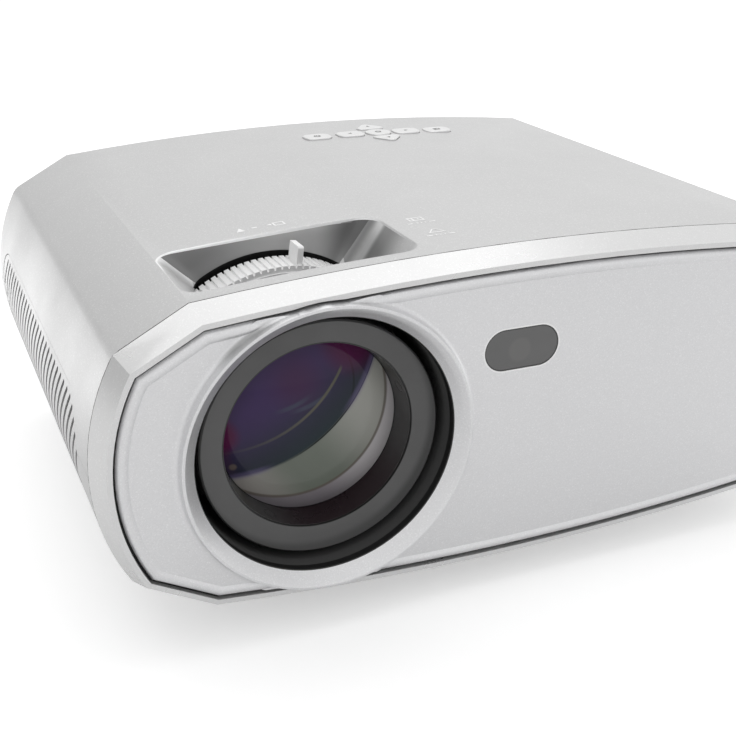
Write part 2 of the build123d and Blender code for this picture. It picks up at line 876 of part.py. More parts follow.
def keyPlaces():
    # key name: (x, y, outline drawn about its own middle)
    pill = RectangleRounded(keyWide, keyDeep, keyCorner)
    tip = arrowTip - arrowBase
    front = make_face(Polyline((-arrowHalf, 0), (0, -tip), (arrowHalf, 0), close=True))
    front = fillet(front.vertices(), arrowCorner)
    back = make_face(Polyline((-arrowHalf, 0), (arrowHalf, 0), (0, tip), close=True))
    back = fillet(back.vertices(), arrowCorner)
    return {
        "key_power": (keyCentreX - keyOuterX, keyRowY, pill),
        "key_left": (keyCentreX - keyStepX, keyRowY, pill),
        "key_ok": (keyCentreX, keyRowY, Sketch() + Circle(okKeyR)),
        "key_right": (keyCentreX + keyStepX, keyRowY, pill),
        "key_source": (keyCentreX + keyOuterX, keyRowY, pill),
        "key_down": (keyCentreX, keyRowY - arrowBase, front),
        "key_up": (keyCentreX, keyRowY + arrowBase, back),
    }


def keySwitchY(name, y):
    reach = {"key_down": -arrowHalf / 2, "key_up": arrowHalf / 2}
    return y + reach.get(name, 0)


def controlKey(name, x, y, outline):
    topZ = surfaceZ(x) + keyProud
    flangeTop = surfaceZ(abs(x) + keyWide / 2, caseWall) - seam
    cap = alongZ(Pos(x, y) * outline, flangeTop - keyFlangeWall, topZ)
    cap = fillet(cap.faces().sort_by(Axis.Z)[-1].edges(), keyEdgeR)
    flange = alongZ(Pos(x, y) * offset(outline, keyFlange), flangeTop - keyFlangeWall, flangeTop)
    stemLow = keyBoardTopZ + switchHeight + keyTravel + runFit
    stem = rodZ(x, keySwitchY(name, y), keyStemR, stemLow, flangeTop - keyFlangeWall)
    return cap + flange + stem


def keyBoardSpan():
    reachX = keyOuterX + keyWide / 2 + keyBoardEdge
    reachY = arrowTip + keyBoardEdgeY
    return (keyCentreX - reachX, keyCentreX + reachX), (keyRowY - reachY, keyRowY + reachY)


def keyBoardPosts():
    (left, right), (front, back) = keyBoardSpan()
    columns, rows = (left + keyBoardEdge, right - keyBoardEdge), (front + keyBoardEdge, back - keyBoardEdge)
    return [(x, y) for x in columns for y in rows]


def keyBoard():
    spanX, spanY = keyBoardSpan()
    board = block(spanX, spanY, (keyBoardTopZ - boardWall, keyBoardTopZ))
    half = switchSide / 2
    for name, (x, y, outline) in keyPlaces().items():
        middle = keySwitchY(name, y)
        body = block((x - half, x + half), (middle - half, middle + half),
                     (keyBoardTopZ, keyBoardTopZ + switchHeight - buttonRise))
        board += body + rodZ(x, middle, keyStemR, keyBoardTopZ, keyBoardTopZ + switchHeight)
    return board


def grilleFace(grow):
    length = grilleEndY - grilleStartY + 2 * grow
    return Pos((grilleStartY + grilleEndY) / 2, 0) * SlotOverall(length, 2 * (grilleHalf + grow))


def bandAtSide(side, face, outerInset, innerInset):
    # part of the side wall between two insets, within a face drawn in Y and Z
    low, high = sorted((side * (halfWidth + past), side * (sideCornerX - sideBand)))
    wall = alongY(caseOutline(outerInset), partingY, caseDepth)
    wall -= alongY(caseOutline(innerInset), 0, caseDepth + past)
    return wall & alongX(face, low, high)


def slotReach(y, up):
    # how far a leaning slot's middle line runs up (1) or down (-1) from mid-height, within the margin
    lean = math.radians(slotLean)
    half = grilleHalf - slotMargin - slotWidth / 2
    reach = half / math.cos(lean)
    endY = y - up * reach * math.sin(lean)
    off = y - min(max(endY, grilleStartY + grilleHalf), grilleEndY - grilleHalf)
    if abs(off - up * reach * math.sin(lean)) < skin:
        return reach
    return up * off * math.sin(lean) + math.sqrt(max(half**2 - (off * math.cos(lean))**2, 0))


def sideGrille(side):
    grille = bandAtSide(side, grilleFace(0), grilleSink, caseWall + skin)
    grille += bandAtSide(side, grilleFace(grilleFlange), caseWall + skin, caseWall + grilleWall)
    count = int((grilleEndY - grilleStartY) / slotPitch)
    first = (grilleStartY + grilleEndY) / 2 - count * slotPitch / 2
    lean = math.radians(slotLean)
    slots = Sketch()
    for k in range(count + 1):
        y = first + k * slotPitch
        above, below = slotReach(y, 1), slotReach(y, -1)
        if above + below > 2 * slotWidth:
            middle = (above - below) / 2
            place = Pos(y - middle * math.sin(lean), middle * math.cos(lean))
            slots += place * SlotOverall(above + below + slotWidth, slotWidth, rotation=90 + slotLean)
    start, end = sorted((side * (halfWidth + past), side * (sideCornerX - sideBand)))
    return grille - alongX(slots, start, end)


def coverHalf(upper):
    # hollow shell of the case, cut at mid-height, with the side openings and the rib behind the rear panel
    outline = caseOutline(0)
    corners2d = [v for v in outline.vertices() if abs(abs(v.X) - sideCornerX) < skin]
    shell = alongY(fillet(corners2d, sideCornerSoft), partingY + seam, caseDepth)
    shell -= alongY(caseOutline(caseWall), partingY - past, caseDepth + past)
    rib = alongY(caseOutline(caseWall), rearPanelY - stopRibWall - skin, rearPanelY - skin)
    rib -= alongY(caseOutline(caseWall + stopRibHeight), rearPanelY - stopRibWall - past, rearPanelY + past)
    shell += rib
    low, high = (seam / 2, halfHeight + past) if upper else (-halfHeight - past, -seam / 2)
    shell &= block((-halfWidth - past, halfWidth + past), (0, caseDepth + past), (low, high))
    shell -= alongX(grilleFace(grilleGap), -halfWidth - past, halfWidth + past)
    sign = 1 if upper else -1
    room = alongY(caseOutline(caseWall / 2), partingY, caseDepth)
    for x in (-rearScrewX, rearScrewX):
        boss = rodY(x, sign * rearScrewZ, rearBossR, rearPanelY - rearBossLength, rearPanelY - skin) & room
        shell += boss
        shell -= rodY(x, sign * rearScrewZ, screwR + skin, rearPanelY - rearBossLength + screwTipRoom,
                      rearPanelY + lap)
    return shell


def topCover():
    cover = coverHalf(True)
    cover += wellSolid(wellWall) & alongY(caseOutline(caseWall / 2), partingY, caseDepth) \
        & block((-halfWidth, 0), (0, caseDepth), (wellFloorZ - wellSkirt, halfHeight + past))
    cover -= wellSolid(0)
    cover -= wheelRoom()
    for x, y, outline in keyPlaces().values():
        hole = Pos(x, y) * offset(outline, keyGap)
        cover -= alongZ(hole, surfaceZ(x) - keyCutHalf, surfaceZ(x) + keyCutHalf)
    inside = alongY(caseOutline(caseWall / 2), partingY, caseDepth)
    for x, y in keyBoardPosts():
        cover += rodZ(x, y, keyBoardPostR, keyBoardTopZ, halfHeight) & inside
    for x, y in caseScrewPlaces:
        cover += rodZ(x, y, caseBossR, bossJointZ, halfHeight) & inside
        tip = screwWellTopZ - screwHeadHeight + screwLength
        cover -= rodZ(x, y, screwR + skin, bossJointZ - lap, tip + screwTipRoom)
    return easedWellRim(cover)


def easedWellRim(cover):
    # small round along the well's rim, where the top surface turns into the well
    edges = [e for e in cover.edges() if isWellRim(e)]
    return fillet(edges, wellEdgeR)


def isWellRim(edge):
    middle = edge @ 0.5
    onTop = abs(middle.Z - outerZ(middle.X)) < 0.05
    near = wellRimLeft - wellCorner < middle.X < wellRimRight + wellCorner \
        and wellFrontY - wellWall < middle.Y < wellBackY + wellWall
    return onTop and near


def bottomCover():
    cover = coverHalf(False)
    inside = alongY(caseOutline(caseWall / 2), partingY, caseDepth)
    for x in (-footX, footX):
        for y in footY:
            cover += rodZ(x, y, footBossR, -outerZ(x) - footBossDrop, -outerZ(x) + caseWall)
            cover -= rodZ(x, y, footR + skin, baseZ - past, -outerZ(x) - footBossDrop + footSink)
    for x, y in caseScrewPlaces:
        cover += rodZ(x, y, caseBossR, -halfHeight, bossJointZ) & inside
        cover -= rodZ(x, y, screwWellR, -halfHeight - past, screwWellTopZ)
        cover -= rodZ(x, y, screwR + slip, screwWellTopZ - lap, bossJointZ + lap)
    for x in (-mountX, mountX):
        for y in mountY:
            low = -outerZ(x)
            cover += rodZ(x, y, mountBossR, -halfHeight, low + mountInsertLength + caseWall) & inside
            cover -= rodZ(x, y, mountInsertR + skin, -halfHeight - past, low + mountInsertLength)
    cover += rodZ(0, tripodY, tripodBossR, -halfHeight, -halfHeight + tripodInsertLength + caseWall) & inside
    cover -= rodZ(0, tripodY, tripodInsertR + skin, -halfHeight - past, -halfHeight + tripodInsertLength)
    cover += rodZ(0, elevatorY, elevatorBossR, -halfHeight, elevatorBossTopZ) & inside
    cover -= rodZ(0, elevatorY, hubR + runFit, -halfHeight - past, elevatorBossTopZ + past)
    for k in range(bottomVentCount):
        x = bottomVentX + (k - (bottomVentCount - 1) / 2) * bottomVentPitch
        vent = Pos(x, bottomVentY) * SlotOverall(bottomVentLength, bottomVentSlot, rotation=90)
        cover -= alongZ(vent, -halfHeight - past, -halfHeight + bottomVentReach)
    for x, y in powerPosts():
        cover += rodZ(x, y, boardPostR, -halfHeight, powerBoardZ) & inside
        cover -= rodZ(x, y, screwR + skin, powerBoardZ - boardScrewBite - lap, powerBoardZ + lap)
    shelfX = (sinkEndX + fanShelfHalf, sinkEndX + fanDepth - fanShelfHalf)
    for y in (opticY - rightFanSide / 4, opticY + rightFanSide / 4):
        shelf = block(shelfX, (y - fanShelfHalf, y + fanShelfHalf), (-halfHeight, -rightFanSide / 2))
        cover += shelf & inside
    for side in (-1, 1):
        low, high = sorted((side * (speakerFaceX - speakerRim), side * (speakerFaceX - seam)))
        cradle = block((low, high), (speakerY - speakerCradle, speakerY + speakerCradle),
                       (-halfHeight, -speakerR / 2))
        cover += cradle & inside
        cover -= speakerRoom(side)
    for x, spanY in engineFeet():
        cover += block((x - engineFootHalf, x + engineFootHalf), spanY, (-halfHeight, -engineHalf)) & inside
    return cover


def speakerRoom(side):
    front, back = speakerFaceX + speakerGap, speakerFaceX - speakerDepth - speakerGap
    low, high = sorted((side * front, side * back))
    return alongX(Pos(speakerY, 0) * Circle(speakerR + skin), low, high)


def engineFeet():
    front = (engineFrontY + engineFootNear, engineFrontY + engineFootFar)
    back = (engineBackY - engineFootFar, engineBackY - engineFootNear)
    columns = (engineLeft + engineFootX, engineRight - engineFootX)
    return [(x, spanY) for x in columns for spanY in (front, back)]


def rubberFeet():
    feet = []
    for x in (-footX, footX):
        for y in footY:
            foot = rodZ(x, y, footR, baseZ, -outerZ(x) - footBossDrop + footSink - skin)
            feet.append(chamfer(foot.faces().sort_by(Axis.Z)[0].edges(), footChamfer))
    return Compound(feet)


def mountInserts():
    inserts = []
    for x in (-mountX, mountX):
        for y in mountY:
            low = -outerZ(x)
            body = rodZ(x, y, mountInsertR, low, low + mountInsertLength)
            inserts.append(body - rodZ(x, y, mountBoreR, low - lap, low + mountInsertLength + lap))
    return Compound(inserts)


def tripodInsert():
    body = rodZ(0, tripodY, tripodInsertR, -halfHeight, -halfHeight + tripodInsertLength)
    return body - rodZ(0, tripodY, tripodBoreR, -halfHeight - lap, -halfHeight + tripodInsertLength + lap)


def caseScrews():
    screws = []
    for x, y in caseScrewPlaces:
        low = screwWellTopZ - screwHeadHeight
        head = rodZ(x, y, screwHeadR, low, screwWellTopZ)
        head -= rodZ(x, y, screwSocketR, low - lap, low + screwSocketDeep)
        screws.append(head + rodZ(x, y, screwR, screwWellTopZ, low + screwLength))
    return Compound(screws)


def elevatorDial():
    topZ = -halfHeight - dialTopGap
    lowZ = topZ - dialHeight
    dial = rodZ(0, elevatorY, dialR, lowZ, topZ)
    dial = chamfer(dial.edges().filter_by(GeomType.CIRCLE), dialChamfer)
    for k in range(dialNotches):
        turn = 2 * math.pi * k / dialNotches
        x, y = dialR * math.sin(turn), elevatorY + dialR * math.cos(turn)
        dial -= rodZ(x, y, dialNotchR, lowZ - lap, topZ + lap)
    dial += rodZ(0, elevatorY, hubR, topZ - lap, hubTopZ)
    return dial - rodZ(0, elevatorY, postR + runFit, lowZ - lap, hubTopZ + lap)


def dialCollar():
    low = elevatorBossTopZ + runFit
    collar = rodZ(0, elevatorY, collarR, low, low + collarWall)
    return collar - rodZ(0, elevatorY, hubR + skin, low - lap, low + collarWall + lap)


def elevatorPost():
    tipTop = baseZ + floorGap + postTipHeight
    half = postHead / 2
    head = block((-half, half), (elevatorY - half, elevatorY + half), (postHeadZ, postHeadZ + postHeadHeight))
    return rodZ(0, elevatorY, postR, tipTop, postHeadZ) + head


def postTip():
    low = baseZ + floorGap
    tip = rodZ(0, elevatorY, postTipR, low, low + postTipHeight)
    return chamfer(tip.faces().sort_by(Axis.Z)[0].edges(), dialChamfer)


def postGuide():
    half = postHead / 2 + runFit
    flangeLow = innerBaseZ + slip
    neckZ = postHeadZ - postTravel - runFit
    flange = block((-guideFlange[0] / 2, guideFlange[0] / 2),
                   (elevatorY - guideFlange[1] / 2, elevatorY + guideFlange[1] / 2),
                   (flangeLow, flangeLow + guideFlangeWall))
    body = rodZ(0, elevatorY, guideR, flangeLow, guideTopZ) + flange
    body -= rodZ(0, elevatorY, elevatorBossR + slip, flangeLow - lap, neckZ)
    spanY = (elevatorY - half, elevatorY + half)
    return body - block((-half, half), spanY, (neckZ - lap, guideTopZ - guideCap))


def rearPanel():
    endY = rearPanelY + rearPanelWall
    panel = alongY(caseOutline(caseWall + slip), rearPanelY, endY)
    cuts = Sketch()
    for x in videoX:
        cuts += Pos(x, portZ) * RectangleRounded(*grown(videoOpen, portWall + portFit), portCutCorner)
    for x in dataX:
        cuts += Pos(x, portZ) * RectangleRounded(*grown(dataOpen, portWall + portFit), portCutCorner)
    for x in audioX:
        cuts += Pos(x, portZ) * Circle(audioBodyR + portFit)
    cuts += Pos(inletX, inletZ) * RectangleRounded(*grown(inletBody, slip), inletCorner)
    cuts += stadium(rearWindowX, rearWindowZ, *grown((rearWindowLength, rearWindowHeight), slip))
    for x in (-rearScrewX, rearScrewX):
        for z in (-rearScrewZ, rearScrewZ):
            cuts += Pos(x, z) * Circle(screwR + slip)
    count = int(exhaustWide / exhaustPitch)
    for k in range(count + 1):
        slot = SlotOverall(2 * exhaustHalf, exhaustSlot, rotation=90)
        cuts += Pos(exhaustLeft + k * exhaustPitch, 0) * slot
    panel -= alongY(cuts, rearPanelY - past, endY + past)
    for x, z in mainPosts():
        panel += rodY(x, z, boardPostR, mainBoardY + boardWall, rearPanelY)
        panel -= rodY(x, z, screwR + skin, mainBoardY, mainBoardY + boardWall + boardScrewBite + lap)
    return panel


def grown(size, by):
    return size[0] + 2 * by, size[1] + 2 * by


def rearWindow():
    size = (rearWindowLength, rearWindowHeight)
    front = stadium(rearWindowX, rearWindowZ, *size)
    flange = stadium(rearWindowX, rearWindowZ, *grown(size, windowFlange))
    return alongY(front, rearPanelY - windowFlangeWall, rearPanelY + rearPanelWall - windowSink) \
        + alongY(flange, rearPanelY - windowFlangeWall, rearPanelY)


def rearScrews():
    endY = rearPanelY + rearPanelWall
    screws = []
    for x in (-rearScrewX, rearScrewX):
        for z in (-rearScrewZ, rearScrewZ):
            head = rodY(x, z, screwHeadR, endY, endY + screwHeadHeight)
            headY = endY + screwHeadHeight
            head -= rodY(x, z, screwSocketR, headY - screwSocketDeep, headY + lap)
            screws.append(head + rodY(x, z, screwR, rearPanelY - rearScrewBite, endY))
    return screws


def mainPosts():
    left, right = mainBoardX
    low, high = mainBoardZ
    return corners(left, right, low, high)


def powerPosts():
    left, right = powerBoardX
    front, back = powerBoardY
    return corners(left, right, front, back)


def corners(left, right, low, high):
    # a board's four screw places
    columns, rows = (left + boardInset, right - boardInset), (low + boardInset, high - boardInset)
    return [(across, along) for across in columns for along in rows]


def mainBoard():
    board = block(mainBoardX, (mainBoardY, mainBoardY + boardWall), mainBoardZ)
    left, low = mainBoardX[0], mainBoardZ[0]
    for chipX, chipZ, height in mainChips:
        spanX, spanZ = [left + reach for reach in chipX], [low + reach for reach in chipZ]
        board += block(spanX, (mainBoardY - height, mainBoardY), spanZ)
    for x, z in mainPosts():
        board -= rodY(x, z, screwR + slip, mainBoardY - past, mainBoardY + past)
    return board


def portShell(x, size, cavityDepth):
    endY = rearPanelY + rearPanelWall
    outer = Pos(x, portZ) * RectangleRounded(*grown(size, portWall), portCorner)
    cavity = Pos(x, portZ) * RectangleRounded(*size, portInnerCorner)
    shell = alongY(outer, mainBoardY + boardWall, endY)
    shell -= alongY(cavity, endY - cavityDepth, endY + lap)
    half = size[0] / 2 - tongueSide
    low = portZ - size[1] / 2 - tongueSink
    return shell + block((x - half, x + half), (endY - cavityDepth - lap, endY - tongueBack),
                         (low, low + tongueThick))


def videoPorts():
    return [portShell(x, videoOpen, portDepth) for x in videoX]


def dataPorts():
    return [portShell(x, dataOpen, portDepth) for x in dataX]


def audioPorts():
    endY = rearPanelY + rearPanelWall
    jacks = []
    for x in audioX:
        jack = rodY(x, portZ, audioBodyR, mainBoardY + boardWall, endY)
        jacks.append(jack - rodY(x, portZ, audioBoreR, endY - portDepth, endY + lap))
    return jacks


def mainsInlet():
    endY = rearPanelY + rearPanelWall
    backY = endY + inletFlangeWall
    outline = Pos(inletX, inletZ) * RectangleRounded(*inletBody, inletCorner)
    body = alongY(outline, endY - inletDepth - inletTail, endY)
    flange = Pos(inletX, inletZ) * RectangleRounded(*inletFlange, inletFlangeCorner)
    body += alongY(flange, endY, backY)
    eight = Pos(inletX, inletZ) * SlotOverall(*inletOpen)
    body -= alongY(eight, backY - inletDepth, backY + lap)
    for side in (-1, 1):
        body += rodY(inletX + side * inletPinStep / 2, inletZ, inletPinR,
                     backY - inletDepth - lap, backY - inletDepth + inletPinLength)
    return body


def powerBoard():
    board = block(powerBoardX, powerBoardY, (powerBoardZ, powerBoardZ + boardWall))
    for x, y in powerPosts():
        board -= rodZ(x, y, screwR + slip, powerBoardZ - past, powerBoardZ + past)
    return board


def powerParts():
    low = powerBoardZ + boardWall
    left, front = powerBoardX[0], powerBoardY[0]
    parts = []
    for blockX, blockY, height in powerBlocks:
        spanX, spanY = [left + reach for reach in blockX], [front + reach for reach in blockY]
        parts.append(block(spanX, spanY, (low, low + height)))
    parts += [rodZ(left + x, front + y, capR, low, low + capHeight) for x, y in capPlaces]
    return Compound(parts)


def boardScrews():
    screws = []
    for x, y in powerPosts():
        top = powerBoardZ + boardWall
        head = rodZ(x, y, screwHeadR, top, top + screwHeadHeight)
        screws.append(head + rodZ(x, y, screwR, powerBoardZ - boardScrewBite, top))
    for x, z in mainPosts():
        head = rodY(x, z, screwHeadR, mainBoardY - screwHeadHeight, mainBoardY)
        screws.append(head + rodY(x, z, screwR, mainBoardY, mainBoardY + boardWall + boardScrewBite))
    return screws


def engineHousing():
    outer = block((engineLeft, engineRight), (engineFrontY, engineBackY), (-engineHalf, engineHalf))
    inner = block((engineLeft + engineWall, engineRight - engineWall),
                  (engineFrontY + engineWall, engineBackY - engineWall),
                  (-engineHalf + engineWall, engineHalf + past))
    housing = outer - inner
    housing -= rodY(lensX, 0, barrelR + barrelHoleGap, engineFrontY - past, engineFrontY + engineWall + past)
    half = ledOpening / 2
    housing -= block((engineRight - past, engineRight + past), (opticY - half, opticY + half), (-half, half))
    vent = Pos(leftFanY, 0) * Circle(leftFanSide / 2 - fanWall - fanTipGap)
    housing -= alongX(vent, engineLeft - past, engineLeft + past)
    for angle in sleeveScrewAngles():
        hole = rodY(0, sleeveScrewR(), screwR + skin, engineFrontY - lap, engineFrontY + engineWall + lap)
        housing -= lensAngle(hole, angle)
    return housing


def engineLid():
    topZ = engineHalf + engineWall
    return block((engineLeft, engineRight), (engineFrontY, engineBackY), (engineHalf, topZ))


def opticPlate(x, wall, halfY):
    floor = -engineHalf + engineWall
    return block((x, x + wall), (opticY - halfY, opticY + halfY), (floor, opticTopZ))


def fresnelLenses():
    return Compound([opticPlate(x, fresnelWall, fresnelHalfY) for x in fresnelX])


def lightMirror():
    floor = -engineHalf + engineWall
    plate = Pos(0, 0, (floor + opticTopZ) / 2) * Box(mirrorLength, mirrorWall, opticTopZ - floor)
    return Pos(lensX, opticY, 0) * Rot(0, 0, 45) * Pos(0, mirrorWall / 2, 0) * plate


def condenserHolder():
    plate = opticPlate(condenserX, condenserHolderWall, glassHalfY)
    bore = Pos(opticY, 0) * Circle(condenserR + skin)
    return plate - alongX(bore, condenserX - past, condenserX + condenserHolderWall + past)


def condenserLens():
    profile = make_face([
        Line((0, 0), (condenserR, 0)), Line((condenserR, 0), (condenserR, condenserHolderWall)),
        ThreePointArc((condenserR, condenserHolderWall),
                      (condenserR / 2, condenserHolderWall + condenserRise
                       - lensSag(condenserR, condenserRise, condenserR / 2)),
                      (0, condenserHolderWall + condenserRise)),
        Line((0, condenserHolderWall + condenserRise), (0, 0)),
    ])
    return Pos(condenserX, opticY, 0) * Rot(0, 0, -90) * revolve(profile, Axis.Y)


def ledModule():
    half = ledSide / 2
    board = block((engineRight - ledWall, engineRight), (opticY - half, opticY + half), (-half, half))
    dome = Cone(ledDomeR, ledDomeTopR, ledDomeRise, align=(Align.CENTER, Align.CENTER, Align.MIN))
    return board + Pos(engineRight - ledWall, opticY, 0) * Rot(0, -90, 0) * dome


def heatSink():
    spanY, spanZ = (opticY - sinkHalfY, opticY + sinkHalfY), (-sinkHalfZ, sinkHalfZ)
    sink = block((engineRight, engineRight + sinkBase), spanY, spanZ)
    count = int((2 * sinkHalfY - finWall) / finPitch)
    first = opticY - count * finPitch / 2
    for k in range(count + 1):
        y = first + k * finPitch
        sink += block((engineRight + sinkBase - lap, sinkEndX), (y - finWall / 2, y + finWall / 2), spanZ)
    return sink


def fanFrame(side):
    # square frame about the X axis at the origin, from x = 0 to fanDepth, with a shaft on four struts
    frame = alongX(RectangleRounded(side, side, fanCorner), 0, fanDepth)
    boreR = side / 2 - fanWall
    frame -= alongX(Circle(boreR), -lap, fanDepth + lap)
    struts = Circle(fanHubR)
    for angle in (45, 135):
        struts += Rot(0, 0, angle) * Rectangle(2 * (boreR + lap), fanStrutWall)
    frame += alongX(struts, 0, fanWall)
    frame += alongX(Circle(fanShaftR), 0, fanDepth - fanShaftEnd)
    for y in (-1, 1):
        for z in (-1, 1):
            place = side / 2 - fanCorner
            frame -= alongX(Pos(y * place, z * place) * Circle(fanHoleR), -lap, fanDepth + lap)
    return frame


def fanRotor(side):
    tipR = side / 2 - fanWall - fanTipGap
    startX, endX = fanWall + fanRotorGap, fanDepth - fanRotorGap
    rotor = alongX(Circle(fanHubR), startX, endX)
    rootR, endR = fanHubR - fanBladeSink, tipR + past
    blade = Rot(0, 0, fanBladePitch) * Box(fanBladeWall, side * fanBladeShare, endR - rootR)
    blade = Pos((startX + endX) / 2, 0, (rootR + endR) / 2) * blade
    for k in range(fanBlades):
        rotor += Rot(360 * k / fanBlades, 0, 0) * blade
    rotor &= alongX(Circle(tipR), startX, endX)
    return rotor - alongX(Circle(fanShaftR + runFit), -lap, fanDepth - fanShaftEnd + fanShaftGap)


def speaker(side):
    profile = make_face(Polyline(
        (0, 0), (magnetR, 0), (magnetR, magnetThick), (speakerR, speakerDepth - speakerRim),
        (speakerR, speakerDepth), (speakerR - speakerRoll, speakerDepth), (coneR, coneFloor),
        (0, coneMiddle), close=True))
    body = Rot(0, 0, -90) * revolve(profile, Axis.Y)
    body = Pos(speakerFaceX - speakerDepth, speakerY, 0) * body
    return body if side > 0 else mirror(body, about=Plane.YZ)


def fanPlace(right):
    return Pos(sinkEndX, opticY, 0) if right else Pos(engineLeft, leftFanY, 0) * Rot(0, 0, 180)


def allPieces():
    pieces = {
        "top_cover": topCover(),
        "bottom_cover": bottomCover(),
        "front_frame": frontFrame(),
        "front_panel": frontPanel(),
        "panel_gasket": panelGasket(),
        "panel_screws": panelScrews(),
        "ir_window": irWindow(),
        "ir_receiver": irReceiver(),
        "lens_shroud": lensShroud(),
        "lens_barrel": lensBarrel(),
        "cam_pins": camPins(),
        "retaining_ring": retainingRing(),
        "front_lens": frontLens(),
        "inner_lenses": Compound([middleLens(), rearLens()]),
        "lens_sleeve": lensSleeve(),
        "focus_wheel": focusWheel(),
        "wheel_retainer": wheelRetainer(),
        "side_grille_left": sideGrille(-1),
        "side_grille_right": sideGrille(1),
        "key_board": keyBoard(),
        "rear_panel": rearPanel(),
        "rear_window": rearWindow(),
        "main_board": mainBoard(),
        "port_connectors": Compound(videoPorts() + dataPorts() + audioPorts()),
        "mains_inlet": mainsInlet(),
        "power_board": powerBoard(),
        "power_parts": powerParts(),
        "short_screws": Compound(boardScrews() + sleeveScrews() + rearScrews()),
        "engine_housing": engineHousing(),
        "engine_lid": engineLid(),
        "lcd_panel": opticPlate(lcdX, lcdWall, lcdHalfY),
        "fresnel_lenses": fresnelLenses(),
        "heat_glass": opticPlate(heatGlassX, heatGlassWall, glassHalfY),
        "condenser_holder": condenserHolder(),
        "condenser_lens": condenserLens(),
        "light_mirror": lightMirror(),
        "led_module": ledModule(),
        "heat_sink": heatSink(),
        "fan_frame_right": fanPlace(True) * fanFrame(rightFanSide),
        "fan_rotor_right": fanPlace(True) * fanRotor(rightFanSide),
        "fan_frame_left": fanPlace(False) * fanFrame(leftFanSide),
        "fan_rotor_left": fanPlace(False) * fanRotor(leftFanSide),
        "speakers": Compound([speaker(-1), speaker(1)]),
        "rubber_feet": rubberFeet(),
        "mount_inserts": mountInserts(),
        "tripod_insert": tripodInsert(),
        "case_screws": caseScrews(),
        "elevator_dial": elevatorDial(),
        "dial_collar": dialCollar(),
        "elevator_post": elevatorPost(),
        "post_tip": postTip(),
        "post_guide": postGuide(),
    }
    for name, (x, y, outline) in keyPlaces().items():
        pieces[name] = controlKey(name, x, y, outline)
    return pieces


os.makedirs("parts", exist_ok=True)
onTable = Pos(0, -caseDepth / 2, -baseZ)
for name, piece in allPieces().items():
    export_step(onTable * piece, f"parts/{name}.step")
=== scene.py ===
import json
import math

import bmesh
import bpy
from mathutils import Matrix, Vector
from mathutils.bvhtree import BVHTree


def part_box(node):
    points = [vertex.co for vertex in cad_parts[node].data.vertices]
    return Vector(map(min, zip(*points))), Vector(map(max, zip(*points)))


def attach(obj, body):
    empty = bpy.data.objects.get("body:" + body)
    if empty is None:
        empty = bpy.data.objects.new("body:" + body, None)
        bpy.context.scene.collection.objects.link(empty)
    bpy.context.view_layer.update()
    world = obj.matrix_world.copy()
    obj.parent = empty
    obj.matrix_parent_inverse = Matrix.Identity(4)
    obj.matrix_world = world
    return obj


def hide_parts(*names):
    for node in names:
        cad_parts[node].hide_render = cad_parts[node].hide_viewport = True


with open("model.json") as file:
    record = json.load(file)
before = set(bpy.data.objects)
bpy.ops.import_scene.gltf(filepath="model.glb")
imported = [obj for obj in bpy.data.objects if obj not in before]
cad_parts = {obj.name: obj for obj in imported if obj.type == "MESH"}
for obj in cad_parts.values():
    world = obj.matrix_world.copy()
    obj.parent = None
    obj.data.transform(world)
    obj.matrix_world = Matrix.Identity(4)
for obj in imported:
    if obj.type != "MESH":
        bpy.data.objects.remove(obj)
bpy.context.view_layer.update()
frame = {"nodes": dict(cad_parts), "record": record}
nodes = frame["nodes"]
scene = bpy.context.scene
scene.view_settings.view_transform = "Standard"
print("frame loaded:", len(nodes), "nodes")

mm = 0.001
tableToAxis = 74.3      # height of the lens axis above the table, mm
crestToMiddle = 123.0   # from the lens ring's crest back to the middle of the case, mm
lensX = -81.2           # the lens axis, to the left of the middle of the case, mm


def at(x, y, z):
    # a point in drawing millimetres: x from the middle, y back from the lens ring, z from the lens axis
    return Vector((x, y - crestToMiddle, z + tableToAxis)) * mm


def depthAt(y):
    # how far back a place in the drawing is on the object, in metres
    return at(0, y, 0).y


def link(tree, fromSocket, toSocket):
    tree.links.new(fromSocket, toSocket)


def addNode(tree, kind, **values):
    node = tree.nodes.new(kind)
    for name, value in values.items():
        setattr(node, name, value)
    return node


def maths(tree, operation, first, second=None):
    node = addNode(tree, "ShaderNodeMath", operation=operation)
    for socket, value in zip(node.inputs, (first, second)):
        if isinstance(value, float):
            socket.default_value = value
        elif value is not None:
            link(tree, value, socket)
    return node.outputs[0]


def smoothRamp(tree, source, low, high):
    # 0 at low and 1 at high, eased at both ends; it falls where low is the larger
    ramp = addNode(tree, "ShaderNodeMapRange", interpolation_type="SMOOTHSTEP")
    ramp.inputs["From Min"].default_value = low
    ramp.inputs["From Max"].default_value = high
    link(tree, source, ramp.inputs["Value"])
    return ramp.outputs["Result"]


def newGroup(name, inputs, outputs):
    group = bpy.data.node_groups.new(name, "ShaderNodeTree")
    for socketName, kind, value in inputs:
        socket = group.interface.new_socket(name=socketName, in_out="INPUT", socket_type=kind)
        if value is not None:
            socket.default_value = value
    for socketName, kind in outputs:
        group.interface.new_socket(name=socketName, in_out="OUTPUT", socket_type=kind)
    return group, group.nodes.new("NodeGroupInput"), group.nodes.new("NodeGroupOutput")


